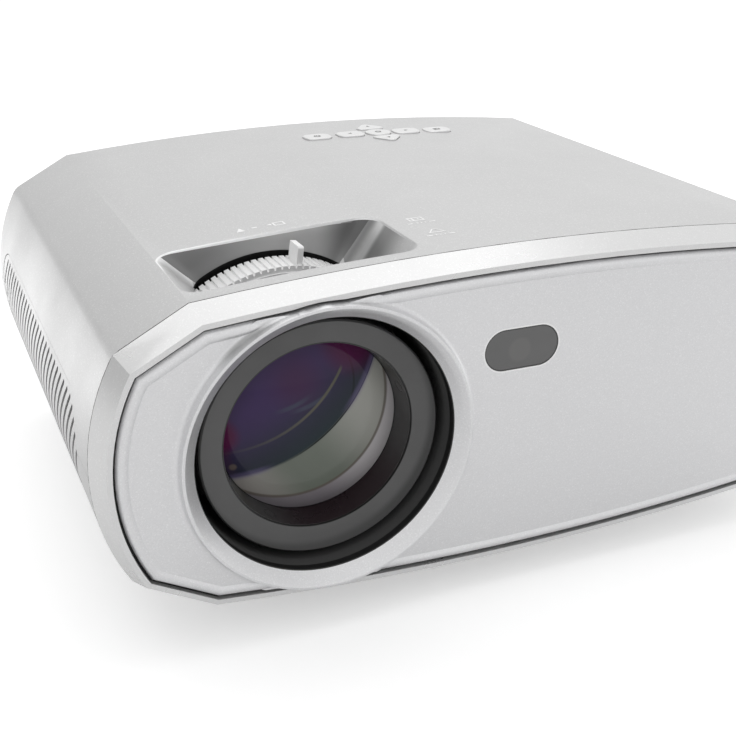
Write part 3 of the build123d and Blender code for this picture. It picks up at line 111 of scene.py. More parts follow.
def makeGrainGroup():
    # fine moulded texture: small noise over a slower one, and a slow mask for smudges
    group, inputs, outputs = newGroup(
        "fineGrain",
        [("Vector", "NodeSocketVector", None), ("Grain Scale", "NodeSocketFloat", 1500.0),
         ("Smudge Scale", "NodeSocketFloat", 18.0)],
        [("Height", "NodeSocketFloat"), ("Smudge", "NodeSocketFloat")])
    fine = addNode(group, "ShaderNodeTexNoise")
    fine.inputs["Detail"].default_value = 3.0
    fine.inputs["Roughness"].default_value = 0.6
    slow = addNode(group, "ShaderNodeTexNoise")
    slow.inputs["Detail"].default_value = 4.0
    slow.inputs["Roughness"].default_value = 0.65
    spread = addNode(group, "ShaderNodeMapRange")
    spread.inputs["From Min"].default_value = 0.35
    spread.inputs["From Max"].default_value = 0.65
    link(group, inputs.outputs["Vector"], fine.inputs["Vector"])
    link(group, inputs.outputs["Grain Scale"], fine.inputs["Scale"])
    link(group, inputs.outputs["Vector"], slow.inputs["Vector"])
    link(group, inputs.outputs["Smudge Scale"], slow.inputs["Scale"])
    link(group, fine.outputs["Fac"], outputs.inputs["Height"])
    link(group, slow.outputs["Fac"], spread.inputs["Value"])
    link(group, spread.outputs["Result"], outputs.inputs["Smudge"])
    return group


def makeFlakeGroup():
    # metal flakes in paint: one random value per cell, and the few that catch the light
    group, inputs, outputs = newGroup(
        "metalFlake",
        [("Vector", "NodeSocketVector", None), ("Flake Scale", "NodeSocketFloat", 2600.0)],
        [("Tone", "NodeSocketFloat"), ("Spark", "NodeSocketFloat")])
    cells = addNode(group, "ShaderNodeTexVoronoi")
    split = addNode(group, "ShaderNodeSeparateColor")
    spark = addNode(group, "ShaderNodeMapRange")
    spark.inputs["From Min"].default_value = 0.86
    spark.inputs["From Max"].default_value = 1.0
    link(group, inputs.outputs["Vector"], cells.inputs["Vector"])
    link(group, inputs.outputs["Flake Scale"], cells.inputs["Scale"])
    link(group, cells.outputs["Color"], split.inputs["Color"])
    link(group, split.outputs["Red"], outputs.inputs["Tone"])
    link(group, split.outputs["Green"], spark.inputs["Value"])
    link(group, spark.outputs["Result"], outputs.inputs["Spark"])
    return group


def makeBrushGroup():
    # straight tool marks along one axis: noise squeezed hard across it
    group, inputs, outputs = newGroup(
        "toolMarks",
        [("Vector", "NodeSocketVector", None), ("Stretch", "NodeSocketVector", (60.0, 2500.0, 2500.0))],
        [("Height", "NodeSocketFloat"), ("Tone", "NodeSocketFloat")])
    stretch = addNode(group, "ShaderNodeMapping")
    lines = addNode(group, "ShaderNodeTexNoise")
    lines.inputs["Scale"].default_value = 1.0
    lines.inputs["Detail"].default_value = 2.0
    slow = addNode(group, "ShaderNodeTexNoise")
    slow.inputs["Scale"].default_value = 40.0
    slow.inputs["Detail"].default_value = 3.0
    link(group, inputs.outputs["Vector"], stretch.inputs["Vector"])
    link(group, inputs.outputs["Stretch"], stretch.inputs["Scale"])
    link(group, stretch.outputs["Vector"], lines.inputs["Vector"])
    link(group, inputs.outputs["Vector"], slow.inputs["Vector"])
    link(group, lines.outputs["Fac"], outputs.inputs["Height"])
    link(group, slow.outputs["Fac"], outputs.inputs["Tone"])
    return group


def makeSlabGroup():
    # 1 within a slab of the object: along Axis, Half Width to each side of Place, in metres
    group, inputs, outputs = newGroup(
        "slabMask",
        [("Vector", "NodeSocketVector", None), ("Axis", "NodeSocketVector", (0.0, 1.0, 0.0)),
         ("Place", "NodeSocketFloat", 0.0), ("Half Width", "NodeSocketFloat", 0.001)],
        [("Inside", "NodeSocketFloat")])
    along = addNode(group, "ShaderNodeVectorMath", operation="DOT_PRODUCT")
    link(group, inputs.outputs["Vector"], along.inputs[0])
    link(group, inputs.outputs["Axis"], along.inputs[1])
    apart = maths(group, "SUBTRACT", along.outputs["Value"], inputs.outputs["Place"])
    inside = maths(group, "LESS_THAN", maths(group, "ABSOLUTE", apart), inputs.outputs["Half Width"])
    link(group, inside, outputs.inputs["Inside"])
    return group


def makeRoundBoxGroup():
    # a line along the edge of a box with round corners, drawn in millimetres on a flat face
    group, inputs, outputs = newGroup(
        "roundBoxEdge",
        [("Vector", "NodeSocketVector", None), ("Half Run", "NodeSocketFloat", 7.4),
         ("Half Rise", "NodeSocketFloat", 0.0), ("Radius", "NodeSocketFloat", 8.0),
         ("Line Width", "NodeSocketFloat", 0.4)],
        [("Line", "NodeSocketFloat")])
    parts = addNode(group, "ShaderNodeSeparateXYZ")
    joined = addNode(group, "ShaderNodeCombineXYZ")
    length = addNode(group, "ShaderNodeVectorMath", operation="LENGTH")
    link(group, inputs.outputs["Vector"], parts.inputs[0])
    for axis, half in (("X", "Half Run"), ("Z", "Half Rise")):
        beyond = maths(group, "SUBTRACT", maths(group, "ABSOLUTE", parts.outputs[axis]), inputs.outputs[half])
        # never under half a millimetre
        link(group, maths(group, "MAXIMUM", beyond, 0.5), joined.inputs[axis])
    link(group, joined.outputs[0], length.inputs[0])
    offset = maths(group, "SUBTRACT", length.outputs["Value"], inputs.outputs["Radius"])
    share = maths(group, "DIVIDE", maths(group, "ABSOLUTE", offset), inputs.outputs["Line Width"])
    link(group, smoothRamp(group, share, 1.0, 0.3), outputs.inputs["Line"])
    return group


def makeArcGroup():
    # for patterns on rings and in the glass: 1 outside a circle, and a thin line along that circle
    group, inputs, outputs = newGroup(
        "arcMasks",
        [("Vector", "NodeSocketVector", None), ("Centre", "NodeSocketVector", (0.0, 0.0, 0.0)),
         ("Radius", "NodeSocketFloat", 10.0), ("Softness", "NodeSocketFloat", 1.0),
         ("Line Width", "NodeSocketFloat", 0.6)],
        [("Outside", "NodeSocketFloat"), ("Line", "NodeSocketFloat")])
    apart = addNode(group, "ShaderNodeVectorMath", operation="DISTANCE")
    link(group, inputs.outputs["Vector"], apart.inputs[0])
    link(group, inputs.outputs["Centre"], apart.inputs[1])
    beyond = maths(group, "SUBTRACT", apart.outputs["Value"], inputs.outputs["Radius"])
    soft = maths(group, "DIVIDE", beyond, inputs.outputs["Softness"])
    share = maths(group, "DIVIDE", maths(group, "ABSOLUTE", beyond), inputs.outputs["Line Width"])
    link(group, smoothRamp(group, soft, -0.5, 0.5), outputs.inputs["Outside"])
    link(group, smoothRamp(group, share, 1.0, 0.2), outputs.inputs["Line"])
    return group


grainGroup = makeGrainGroup()
flakeGroup = makeFlakeGroup()
brushGroup = makeBrushGroup()
slabGroup = makeSlabGroup()
roundBoxGroup = makeRoundBoxGroup()
arcGroup = makeArcGroup()


def startMaterial(name):
    material = bpy.data.materials.new(name)
    material.use_nodes = True
    tree = material.node_tree
    shader = tree.nodes["Principled BSDF"]
    place = addNode(tree, "ShaderNodeTexCoord")
    return material, tree, shader, place.outputs["Object"]


def placeGroup(tree, group, place, **values):
    node = addNode(tree, "ShaderNodeGroup", node_tree=group)
    link(tree, place, node.inputs["Vector"])
    for name, value in values.items():
        node.inputs[name.replace("_", " ")].default_value = value
    return node


def ranged(tree, source, low, high):
    node = addNode(tree, "ShaderNodeMapRange")
    node.inputs["To Min"].default_value = low
    node.inputs["To Max"].default_value = high
    link(tree, source, node.inputs["Value"])
    return node.outputs["Result"]


def mixed(tree, mask, first, second):
    node = addNode(tree, "ShaderNodeMix", data_type="RGBA")
    for socket, value in (("A", first), ("B", second)):
        target = [s for s in node.inputs if s.name == socket and s.type == "RGBA"][0]
        if isinstance(value, tuple):
            target.default_value = (*value, 1.0)
        else:
            link(tree, value, target)
    link(tree, mask, node.inputs[0])
    return [s for s in node.outputs if s.type == "RGBA"][0]


def bumped(tree, shader, height, strength, distance):
    bump = addNode(tree, "ShaderNodeBump")
    bump.inputs["Strength"].default_value = strength
    bump.inputs["Distance"].default_value = distance
    link(tree, height, bump.inputs["Height"])
    link(tree, bump.outputs["Normal"], shader.inputs["Normal"])


def grey(level, warm=0.0):
    return (level * (1 + warm), level, level * (1 - warm))


def slabMask(tree, place, axis, low, high):
    # 1 between two places along an axis, given in metres on the object
    node = placeGroup(tree, slabGroup, place, Axis=axis, Place=(low + high) / 2, Half_Width=(high - low) / 2)
    return node.outputs["Inside"]


def frontPlane(tree, place, x, z):
    # the front seen square on, in millimetres from a point of the drawing
    flat = addNode(tree, "ShaderNodeMapping")
    flat.inputs["Location"].default_value = (-x, 0, -z - tableToAxis)
    flat.inputs["Scale"].default_value = (1000, 0, 1000)
    link(tree, place, flat.inputs["Vector"])
    return flat.outputs["Vector"]


def planPlane(tree, place, x, y):
    # the top seen from above, in millimetres from a point of the drawing; its height is read as Z
    flat = addNode(tree, "ShaderNodeMapping")
    flat.inputs["Location"].default_value = (-x, 0, crestToMiddle - y)
    flat.inputs["Rotation"].default_value = (math.pi / 2, 0, 0)
    flat.inputs["Scale"].default_value = (1000, 1000, 0)
    link(tree, place, flat.inputs["Vector"])
    return flat.outputs["Vector"]


def spot(tree, plane, centre, radius, soft):
    # a round patch with a soft edge
    apart = addNode(tree, "ShaderNodeVectorMath", operation="DISTANCE")
    apart.inputs[1].default_value = centre
    link(tree, plane, apart.inputs[0])
    return smoothRamp(tree, apart.outputs["Value"], radius + soft, radius - soft)


def axisGradient(tree, plane, direction, low, high):
    # 0 to 1 along a direction, between two distances from the plane's middle
    along = addNode(tree, "ShaderNodeVectorMath", operation="DOT_PRODUCT")
    along.inputs[1].default_value = direction
    link(tree, plane, along.inputs[0])
    return smoothRamp(tree, along.outputs["Value"], low, high)


def times(tree, first, second):
    return maths(tree, "MULTIPLY", first, second)


def arcLine(tree, plane, centre, radius, width):
    node = placeGroup(tree, arcGroup, plane, Centre=centre, Radius=radius, Line_Width=width)
    return node.outputs["Line"]


def boxLine(tree, plane, halfRun, halfRise, radius, width):
    node = placeGroup(tree, roundBoxGroup, plane, Half_Run=halfRun, Half_Rise=halfRise, Radius=radius,
                      Line_Width=width)
    return node.outputs["Line"]


rightward, backward, upward = (1, 0, 0), (0, 1, 0), (0, 0, 1)     # seen in plan, upward is to the back
middle = (0, 0, 0)

silverPaint = {"metal": 0.72, "spark": 0.5, "glossier": -0.03, "duller": 0.05, "grain": 0.12,
               "depth": 0.00006}
# the line round the front frame, whose gap is painted near black as shade
partingGap = {"start": depthAt(14.62), "end": depthAt(15.08), "tone": 0.02}


def paintedSilver(name, light, dark, roughness, flakeTone=0.35, detail=None):
    # silver paint over moulded plastic: flakes shift the tone a little, smudges shift the gloss
    material, tree, shader, place = startMaterial(name)
    grain = placeGroup(tree, grainGroup, place)
    flake = placeGroup(tree, flakeGroup, place)
    base = mixed(tree, flake.outputs["Tone"], dark, light)
    bright = tuple(min(1.0, c * (1 + flakeTone)) for c in light)
    colour = mixed(tree, ranged(tree, flake.outputs["Spark"], 0.0, silverPaint["spark"]), base, bright)
    if detail:
        colour = detail(tree, shader, place, colour)
    link(tree, colour, shader.inputs["Base Color"])
    gloss = ranged(tree, grain.outputs["Smudge"], roughness + silverPaint["glossier"],
                   roughness + silverPaint["duller"])
    link(tree, gloss, shader.inputs["Roughness"])
    shader.inputs["Metallic"].default_value = silverPaint["metal"]
    bumped(tree, shader, grain.outputs["Height"], silverPaint["grain"], silverPaint["depth"])
    return material


def partingShade(tree, shader, place, colour):
    # painted shade: the faces inside the parting line's gap are painted near black
    gap = slabMask(tree, place, backward, partingGap["start"], partingGap["end"])
    return mixed(tree, gap, colour, grey(partingGap["tone"]))


# the focus well in the top cover: walls in metres on the object, the rest in drawing millimetres
wellPlace = {
    "x": -81.7, "y": 45.85, "halfRun": 36.0, "halfRise": 14.85, "corner": 8.2,     # the rim, seen from above
    "rimAxis": (-0.064, 0.0, 0.998), "wallLow": 0.110, "rimLow": 0.1394, "rimHigh": 0.1420,
    "left": -0.1263, "leftFoot": -0.1118, "rightFoot": -0.0508, "right": -0.0371,
    "backStart": depthAt(66.8), "backEnd": depthAt(69.3),
    "slotR": 54.6, "slotSoft": 0.15, "slotStart": depthAt(64.5), "slotEnd": depthAt(68.7),
    "rimLine": 0.7, "rimSide": (-0.12, 0, 0.99),
}
# painted shade and highlights on the well's walls, and the painted shadow of the wheel's slot and the rim's
# painted highlight
wellShadeAndHighlight = {"leftWall": 0.86, "backLeft": 0.235, "backMiddle": 0.50, "backRight": 0.14, "cornerDark": 0.30,
             "cornerBright": 0.78, "rightWall": 0.31, "slot": 0.006, "rim": 0.98}
# where one painted tone turns into the next: across the back wall, and from front to back along the right one
wellFades = {"backRise": (-33.0, 12.0), "backFall": (18.5, 35.0), "corner": (9.5, 13.5),
             "cornerFall": (20.0, 15.5), "behindDark": (13.2, 9.2), "beforeDark": (-13.0, 5.0),
             "rim": (6.0, 16.0)}


def shellDetail(tree, shader, place, colour):
    # the parting line's painted shade, painted shade and highlights on the well's walls, the painted shadow
    # in the slot for the wheel, and a painted highlight along the back rim
    colour = partingShade(tree, shader, place, colour)
    front = frontPlane(tree, place, lensX, 0)
    plan = planPlane(tree, place, wellPlace["x"], wellPlace["y"])
    walls = slabMask(tree, place, wellPlace["rimAxis"], wellPlace["wallLow"], wellPlace["rimLow"])

    # painted light: the left wall is painted lighter
    left = times(tree, slabMask(tree, place, rightward, wellPlace["left"], wellPlace["leftFoot"]), walls)
    colour = mixed(tree, left, colour, grey(wellShadeAndHighlight["leftWall"]))

    # painted shade and a painted highlight streak on the right wall near the back corner, darker further
    # forward
    right = times(tree, slabMask(tree, place, rightward, wellPlace["rightFoot"], wellPlace["right"]), walls)
    corner = times(tree, right, axisGradient(tree, plan, upward, *wellFades["corner"]))
    cornerShadeAndHighlight = mixed(tree, axisGradient(tree, plan, upward, *wellFades["cornerFall"]),
                       grey(wellShadeAndHighlight["cornerDark"]), grey(wellShadeAndHighlight["cornerBright"]))
    colour = mixed(tree, corner, colour, cornerShadeAndHighlight)
    rightWallShade = times(tree, axisGradient(tree, plan, upward, *wellFades["behindDark"]),
                   axisGradient(tree, plan, upward, *wellFades["beforeDark"]))
    colour = mixed(tree, times(tree, right, rightWallShade), colour, grey(wellShadeAndHighlight["rightWall"]))

    # painted shade across the back wall, darker at both ends
    back = times(tree, slabMask(tree, place, backward, wellPlace["backStart"], wellPlace["backEnd"]), walls)
    back = times(tree, back, slabMask(tree, place, rightward, wellPlace["left"], wellPlace["right"]))
    backWallShade = mixed(tree, axisGradient(tree, front, rightward, *wellFades["backRise"]),
                     grey(wellShadeAndHighlight["backLeft"]), grey(wellShadeAndHighlight["backMiddle"]))
    backWallShade = mixed(tree, axisGradient(tree, front, rightward, *wellFades["backFall"]), backWallShade,
                     grey(wellShadeAndHighlight["backRight"]))
    colour = mixed(tree, back, colour, backWallShade)

    # painted shadow: the black band in the gap behind the wheel
    slot = times(tree, spot(tree, front, middle, wellPlace["slotR"], wellPlace["slotSoft"]),
                 slabMask(tree, place, backward, wellPlace["slotStart"], wellPlace["slotEnd"]))
    colour = mixed(tree, slot, colour, grey(wellShadeAndHighlight["slot"]))

    # painted highlight along the well's rounded back rim
    edge = boxLine(tree, plan, wellPlace["halfRun"], wellPlace["halfRise"], wellPlace["corner"],
                   wellPlace["rimLine"])
    rim = times(tree, axisGradient(tree, plan, wellPlace["rimSide"], *wellFades["rim"]),
                slabMask(tree, place, wellPlace["rimAxis"], wellPlace["rimLow"], wellPlace["rimHigh"]))
    return mixed(tree, times(tree, edge, rim), colour, grey(wellShadeAndHighlight["rim"]))


# the window in the front panel, and the lens ring beside it, in millimetres
windowPlace = {"x": -5.2, "z": 27.0, "halfRun": 7.4, "radius": 8.0, "edge": 0.55,
               "outline": 0.4, "outlineWidth": 0.45, "edgeHighlightTone": 0.92,
               "receiver": (-0.8, 0, -0.6), "receiverR": 4.6, "receiverSoft": 0.9}
# painted shade in the dip beside the lens ring and in the ring's bore
ringShade = {"boreR": 49.5, "boreSoft": 0.04, "boreShade": 0.05, "dipR": 55.8, "dipWidth": 1.3,
             "dipPlace": (-31.0, 0, 46.5), "dipReach": 9.0, "dipSoft": 5.0, "dipShare": 0.75, "dipTone": 0.33}


def windowEdgeHighlight(tree, place, colour):
    # a painted highlight: a bright line along the panel's edge round the window
    plane = frontPlane(tree, place, windowPlace["x"], windowPlace["z"])
    edge = boxLine(tree, plane, windowPlace["halfRun"], 0.0, windowPlace["radius"] + windowPlace["outline"],
                   windowPlace["outlineWidth"])
    return mixed(tree, edge, colour, grey(windowPlace["edgeHighlightTone"]))


def panelDetail(tree, shader, place, colour):
    # the painted highlight round the window, and painted shade in the dip beside the lens ring and in the
    # bore inside it
    colour = windowEdgeHighlight(tree, place, colour)
    plane = frontPlane(tree, place, lensX, 0)
    dip = times(tree, arcLine(tree, plane, middle, ringShade["dipR"], ringShade["dipWidth"]),
                spot(tree, plane, ringShade["dipPlace"], ringShade["dipReach"], ringShade["dipSoft"]))
    colour = mixed(tree, times(tree, dip, ringShade["dipShare"]), colour, grey(ringShade["dipTone"]))
    bore = spot(tree, plane, middle, ringShade["boreR"], ringShade["boreSoft"])
    return mixed(tree, bore, colour, grey(ringShade["boreShade"]))


barrelPaint = {"faceMiddle": (-1.6, 0, 2.2), "faceR": 44.8, "faceSoft": 1.6, "faceEdgeShade": 0.045,
               "down": (0, 0, -1.0), "low": (28.0, 46.0), "lowShare": 0.55, "lowShade": 0.060,
               "jointR": 36.5, "jointWidth": 0.45, "jointTone": 0.012}
retainerPaint = {"down": (0.35, 0, -0.94), "low": (18.0, 34.0), "lowShade": (0.020, 0.010, 0.013),
                 "jointWidth": 0.5, "jointTone": 0.010}


def barrelShade(tree, shader, place, colour):
    # painted shade: the rounded lower right of the barrel's face falls away into the dark, and its bottom is
    # painted darker; the joint to the retaining ring is a dark line
    plane = frontPlane(tree, place, lensX, 0)
    face = spot(tree, plane, barrelPaint["faceMiddle"], barrelPaint["faceR"], barrelPaint["faceSoft"])
    joint = arcLine(tree, plane, middle, barrelPaint["jointR"], barrelPaint["jointWidth"])
    low = axisGradient(tree, plane, barrelPaint["down"], *barrelPaint["low"])
    colour = mixed(tree, times(tree, low, barrelPaint["lowShare"]), colour, grey(barrelPaint["lowShade"]))
    colour = mixed(tree, face, grey(barrelPaint["faceEdgeShade"]), colour)
    return mixed(tree, joint, colour, grey(barrelPaint["jointTone"]))


def retainerShade(tree, shader, place, colour):
    # glossy black wall round the glass, with painted shade and a painted reflection: darker towards the
    # bottom, with a little of the coating's magenta thrown on it
    plane = frontPlane(tree, place, lensX, 0)
    low = axisGradient(tree, plane, retainerPaint["down"], *retainerPaint["low"])
    colour = mixed(tree, low, colour, retainerPaint["lowShade"])
    joint = arcLine(tree, plane, middle, barrelPaint["jointR"], retainerPaint["jointWidth"])
    return mixed(tree, joint, colour, grey(retainerPaint["jointTone"]))


wheelPaint = {"slotStart": depthAt(64.95), "slotEnd": depthAt(75), "slotShadow": 0.008,
              "finR": 54.3, "finSoft": 0.4, "finTone": 0.94, "finMetal": 0.05, "ribMetal": 0.25}


def wheelDetail(tree, shader, place, colour):
    # the painted shadow in the slot behind the ribs, and the paler finger fin
    slot = slabMask(tree, place, backward, wheelPaint["slotStart"], wheelPaint["slotEnd"])
    colour = mixed(tree, slot, colour, grey(wheelPaint["slotShadow"]))
    ribs = spot(tree, frontPlane(tree, place, lensX, 0), middle, wheelPaint["finR"], wheelPaint["finSoft"])
    link(tree, ranged(tree, ribs, wheelPaint["finMetal"], wheelPaint["ribMetal"]), shader.inputs["Metallic"])
    return mixed(tree, ribs, grey(wheelPaint["finTone"]), colour)


plasticPaint = {"duller": 0.06, "glossier": -0.04}
metalPaint = {"glossier": -0.08, "duller": 0.12, "depth": 0.00005}


def mouldedPlastic(name, light, dark, roughness, grainScale=900.0, strength=0.35, distance=0.00012,
                   detail=None):
    # moulded plastic with a spark-eroded grain
    material, tree, shader, place = startMaterial(name)
    grain = placeGroup(tree, grainGroup, place, Grain_Scale=grainScale)
    colour = mixed(tree, grain.outputs["Smudge"], dark, light)
    if detail:
        colour = detail(tree, shader, place, colour)
    link(tree, colour, shader.inputs["Base Color"])
    gloss = ranged(tree, grain.outputs["Smudge"], roughness + plasticPaint["duller"],
                   roughness + plasticPaint["glossier"])
    link(tree, gloss, shader.inputs["Roughness"])
    bumped(tree, shader, grain.outputs["Height"], strength, distance)
    return material


def toolMarkedMetal(name, light, dark, roughness, stretch=(60.0, 2500.0, 2500.0), strength=0.25):
    # metal with fine tool marks along one axis
    material, tree, shader, place = startMaterial(name)
    marks = placeGroup(tree, brushGroup, place, Stretch=stretch)
    link(tree, mixed(tree, marks.outputs["Tone"], dark, light), shader.inputs["Base Color"])
    gloss = ranged(tree, marks.outputs["Height"], roughness + metalPaint["glossier"],
                   roughness + metalPaint["duller"])
    link(tree, gloss, shader.inputs["Roughness"])
    shader.inputs["Metallic"].default_value = 1.0
    bumped(tree, shader, marks.outputs["Height"], strength, metalPaint["depth"])
    return material


boardPaint = {"tracks": 260.0, "gap": 0.05, "pads": 210.0, "padEdge": (0.16, 0.12), "grain": 700.0,
              "green": (0.012, 0.085, 0.035), "deepGreen": (0.010, 0.070, 0.030),
              "copper": (0.030, 0.170, 0.070), "tin": (0.55, 0.55, 0.52), "gloss": (0.30, 0.42),
              "strength": 0.3, "depth": 0.00005}


def solderMask(name):
    # green board: darker laminate between copper tracks, and small tinned pads
    material, tree, shader, place = startMaterial(name)
    grain = placeGroup(tree, grainGroup, place, Grain_Scale=boardPaint["grain"])
    tracks = addNode(tree, "ShaderNodeTexBrick", offset=0.5, squash=1.0)
    tracks.inputs["Scale"].default_value = boardPaint["tracks"]
    tracks.inputs["Mortar Size"].default_value = boardPaint["gap"]
    for socket, tone in (("Color1", "green"), ("Color2", "deepGreen"), ("Mortar", "copper")):
        tracks.inputs[socket].default_value = (*boardPaint[tone], 1)
    link(tree, place, tracks.inputs["Vector"])
    pads = addNode(tree, "ShaderNodeTexVoronoi")
    pads.inputs["Scale"].default_value = boardPaint["pads"]
    link(tree, place, pads.inputs["Vector"])
    padMask = addNode(tree, "ShaderNodeMapRange")
    padMask.inputs["From Min"].default_value, padMask.inputs["From Max"].default_value = boardPaint["padEdge"]
    link(tree, pads.outputs["Distance"], padMask.inputs["Value"])
    colour = mixed(tree, padMask.outputs["Result"], tracks.outputs["Color"], boardPaint["tin"])
    link(tree, colour, shader.inputs["Base Color"])
    link(tree, ranged(tree, grain.outputs["Smudge"], *boardPaint["gloss"]), shader.inputs["Roughness"])
    link(tree, padMask.outputs["Result"], shader.inputs["Metallic"])
    bumped(tree, shader, tracks.outputs["Fac"], boardPaint["strength"], boardPaint["depth"])
    return material


clearPaint = {"ior": 1.5, "duller": 0.03}


def clearGlass(name, tint, roughness):
    material, tree, shader, place = startMaterial(name)
    shader.inputs["Base Color"].default_value = (*tint, 1.0)
    shader.inputs["Transmission Weight"].default_value = 1.0
    shader.inputs["IOR"].default_value = clearPaint["ior"]
    grain = placeGroup(tree, grainGroup, place)
    gloss = ranged(tree, grain.outputs["Smudge"], roughness, roughness + clearPaint["duller"])
    link(tree, gloss, shader.inputs["Roughness"])
    return material


smokeTones = {"dark": 0.112, "light": 0.122, "receiver": 0.135, "warm": 0.01, "edge": 0.02, "smudges": 30.0,
              "gloss": (0.16, 0.22), "coat": 0.6, "coatGloss": 0.05}


def smokedWindow(name):
    # dark polished plastic, with the receiver behind it just showing
    material, tree, shader, place = startMaterial(name)
    grain = placeGroup(tree, grainGroup, place, Smudge_Scale=smokeTones["smudges"])
    plane = frontPlane(tree, place, windowPlace["x"], windowPlace["z"])
    edge = boxLine(tree, plane, windowPlace["halfRun"], 0.0, windowPlace["radius"], windowPlace["edge"])
    receiver = spot(tree, plane, windowPlace["receiver"], windowPlace["receiverR"],
                    windowPlace["receiverSoft"])
    tone = mixed(tree, grain.outputs["Smudge"], grey(smokeTones["dark"]), grey(smokeTones["light"]))
    tone = mixed(tree, receiver, tone, grey(smokeTones["receiver"], smokeTones["warm"]))
    tone = mixed(tree, edge, tone, grey(smokeTones["edge"]))
    link(tree, tone, shader.inputs["Base Color"])
    link(tree, ranged(tree, grain.outputs["Smudge"], *smokeTones["gloss"]), shader.inputs["Roughness"])
    shader.inputs["Coat Weight"].default_value = smokeTones["coat"]
    shader.inputs["Coat Roughness"].default_value = smokeTones["coatGloss"]
    return material


anyWay = (900.0, 900.0, 900.0)     # how fine the tool marks are along each axis
slotMaterials = {
    "shell_plastic": paintedSilver("shellPaint", grey(0.64), grey(0.61), 0.42, detail=shellDetail),
    "frame_plastic": paintedSilver("framePaint", grey(0.76), grey(0.74), 0.30, 0.2, partingShade),
    "panel_plastic": paintedSilver("panelPaint", (0.80, 0.80, 0.81), (0.76, 0.76, 0.77), 0.36, 0.2,
                                   panelDetail),
    "grille_plastic": paintedSilver("grillePaint", grey(0.64), grey(0.61), 0.42),
    "wheel_plastic": paintedSilver("wheelPaint", grey(0.95), grey(0.91), 0.40, detail=wheelDetail),
    "key_plastic": paintedSilver("keyPaint", grey(0.80), grey(0.77), 0.32),
    "seal_rubber": mouldedPlastic("sealRubber", grey(0.012), grey(0.008), 0.75),
    "screw_steel": toolMarkedMetal("screwSteel", grey(0.60), grey(0.48), 0.32, anyWay),
    "smoked_plastic": smokedWindow("smokedPlastic"),
    "board": solderMask("solderMask"),
    "black_plastic": mouldedPlastic("blackPlastic", grey(0.016), grey(0.010), 0.55),
    "barrel_plastic": mouldedPlastic("barrelPlastic", grey(0.118), grey(0.104), 0.50, 1300.0, 0.2, 0.00006,
                                     barrelShade),
    "lens_glass": clearGlass("lensGlass", (0.93, 0.95, 0.98), 0.0),
    "dark_plastic": mouldedPlastic("rearPlastic", grey(0.045), grey(0.035), 0.55, 700.0, 0.5, 0.00015),
    "port_metal": toolMarkedMetal("portNickel", grey(0.66), grey(0.55), 0.26),
    "component": mouldedPlastic("componentBody", (0.05, 0.05, 0.06), (0.03, 0.03, 0.035), 0.45),
    "lcd_glass": clearGlass("lcdGlass", (0.10, 0.10, 0.13), 0.05),
    "clear_plastic": clearGlass("clearPlastic", (0.92, 0.93, 0.95), 0.08),
    "mirror": toolMarkedMetal("frontMirror", grey(0.88), grey(0.86), 0.09, (20.0, 20.0, 20.0), 0.02),
    "led": mouldedPlastic("phosphor", (0.85, 0.66, 0.10), (0.80, 0.58, 0.08), 0.40),
    "sink_aluminium": toolMarkedMetal("extrudedAluminium", grey(0.74), grey(0.66), 0.38,
                                      (2500.0, 60.0, 2500.0)),
    "fan_plastic": mouldedPlastic("fanPlastic", grey(0.020), grey(0.014), 0.42),
    "speaker_black": mouldedPlastic("speakerPaper", grey(0.028), grey(0.018), 0.70, 500.0, 0.6, 0.0002),
    "foot_rubber": mouldedPlastic("footRubber", grey(0.022), grey(0.016), 0.80, 600.0, 0.5, 0.00015),
    "insert_brass": toolMarkedMetal("turnedBrass", (0.74, 0.56, 0.28), (0.62, 0.45, 0.20), 0.28,
                                    (900.0, 900.0, 60.0)),
    "dial_plastic": mouldedPlastic("dialPlastic", grey(0.050), grey(0.040), 0.50),
    "post_plastic": mouldedPlastic("postPlastic", grey(0.055), grey(0.045), 0.48),
}
nodeMaterials = {     # nodes that differ from the others of their slot
    "lens_shroud": mouldedPlastic("shroudPlastic", grey(0.100), grey(0.085), 0.45, 900.0, 0.2),
    # painted shade: deep in the lens cavity, the wheel retainer and the sleeve are made near black
    "wheel_retainer": mouldedPlastic("retainerInShade", grey(0.006), grey(0.004), 0.6),
    "lens_sleeve": mouldedPlastic("sleeveInShade", grey(0.006), grey(0.004), 0.6),
    "retaining_ring": mouldedPlastic("retainerPlastic", grey(0.060), grey(0.050), 0.30, 1300.0, 0.1, 0.00004,
                                     retainerShade),
}
slotOf = {part["node"]: part["material_slot"] for part in frame["record"]["subparts"]}
softEdge = {"weld": 0.000004, "sharp": math.radians(30)}


def finishNode(name, obj):
    # a CAD node keeps its mesh: welded and softened by modifiers, and given its slot's finish
    obj.data.materials.clear()
    obj.data.materials.append(nodeMaterials.get(name) or slotMaterials[slotOf[name]])
    obj.data.polygons.foreach_set("use_smooth", [True] * len(obj.data.polygons))
    weld = obj.modifiers.new("weld", "WELD")
    weld.merge_threshold = softEdge["weld"]
    split = obj.modifiers.new("sharp", "EDGE_SPLIT")
    split.split_angle = softEdge["sharp"]
    split.use_edge_sharp = False


for name, obj in nodes.items():
    finishNode(name, obj)
print("materials set:", len(slotMaterials))


# the front glass' shape in drawing millimetres: y runs back from the lens ring
glassSizes = {"edgeR": 35.4, "vertexY": 19.5, "edgeY": 26.8, "backY": 36.5, "hollow": 4.0, "steps": 128,
              "merge": 0.0005, "domeRings": 24, "backRings": 12}
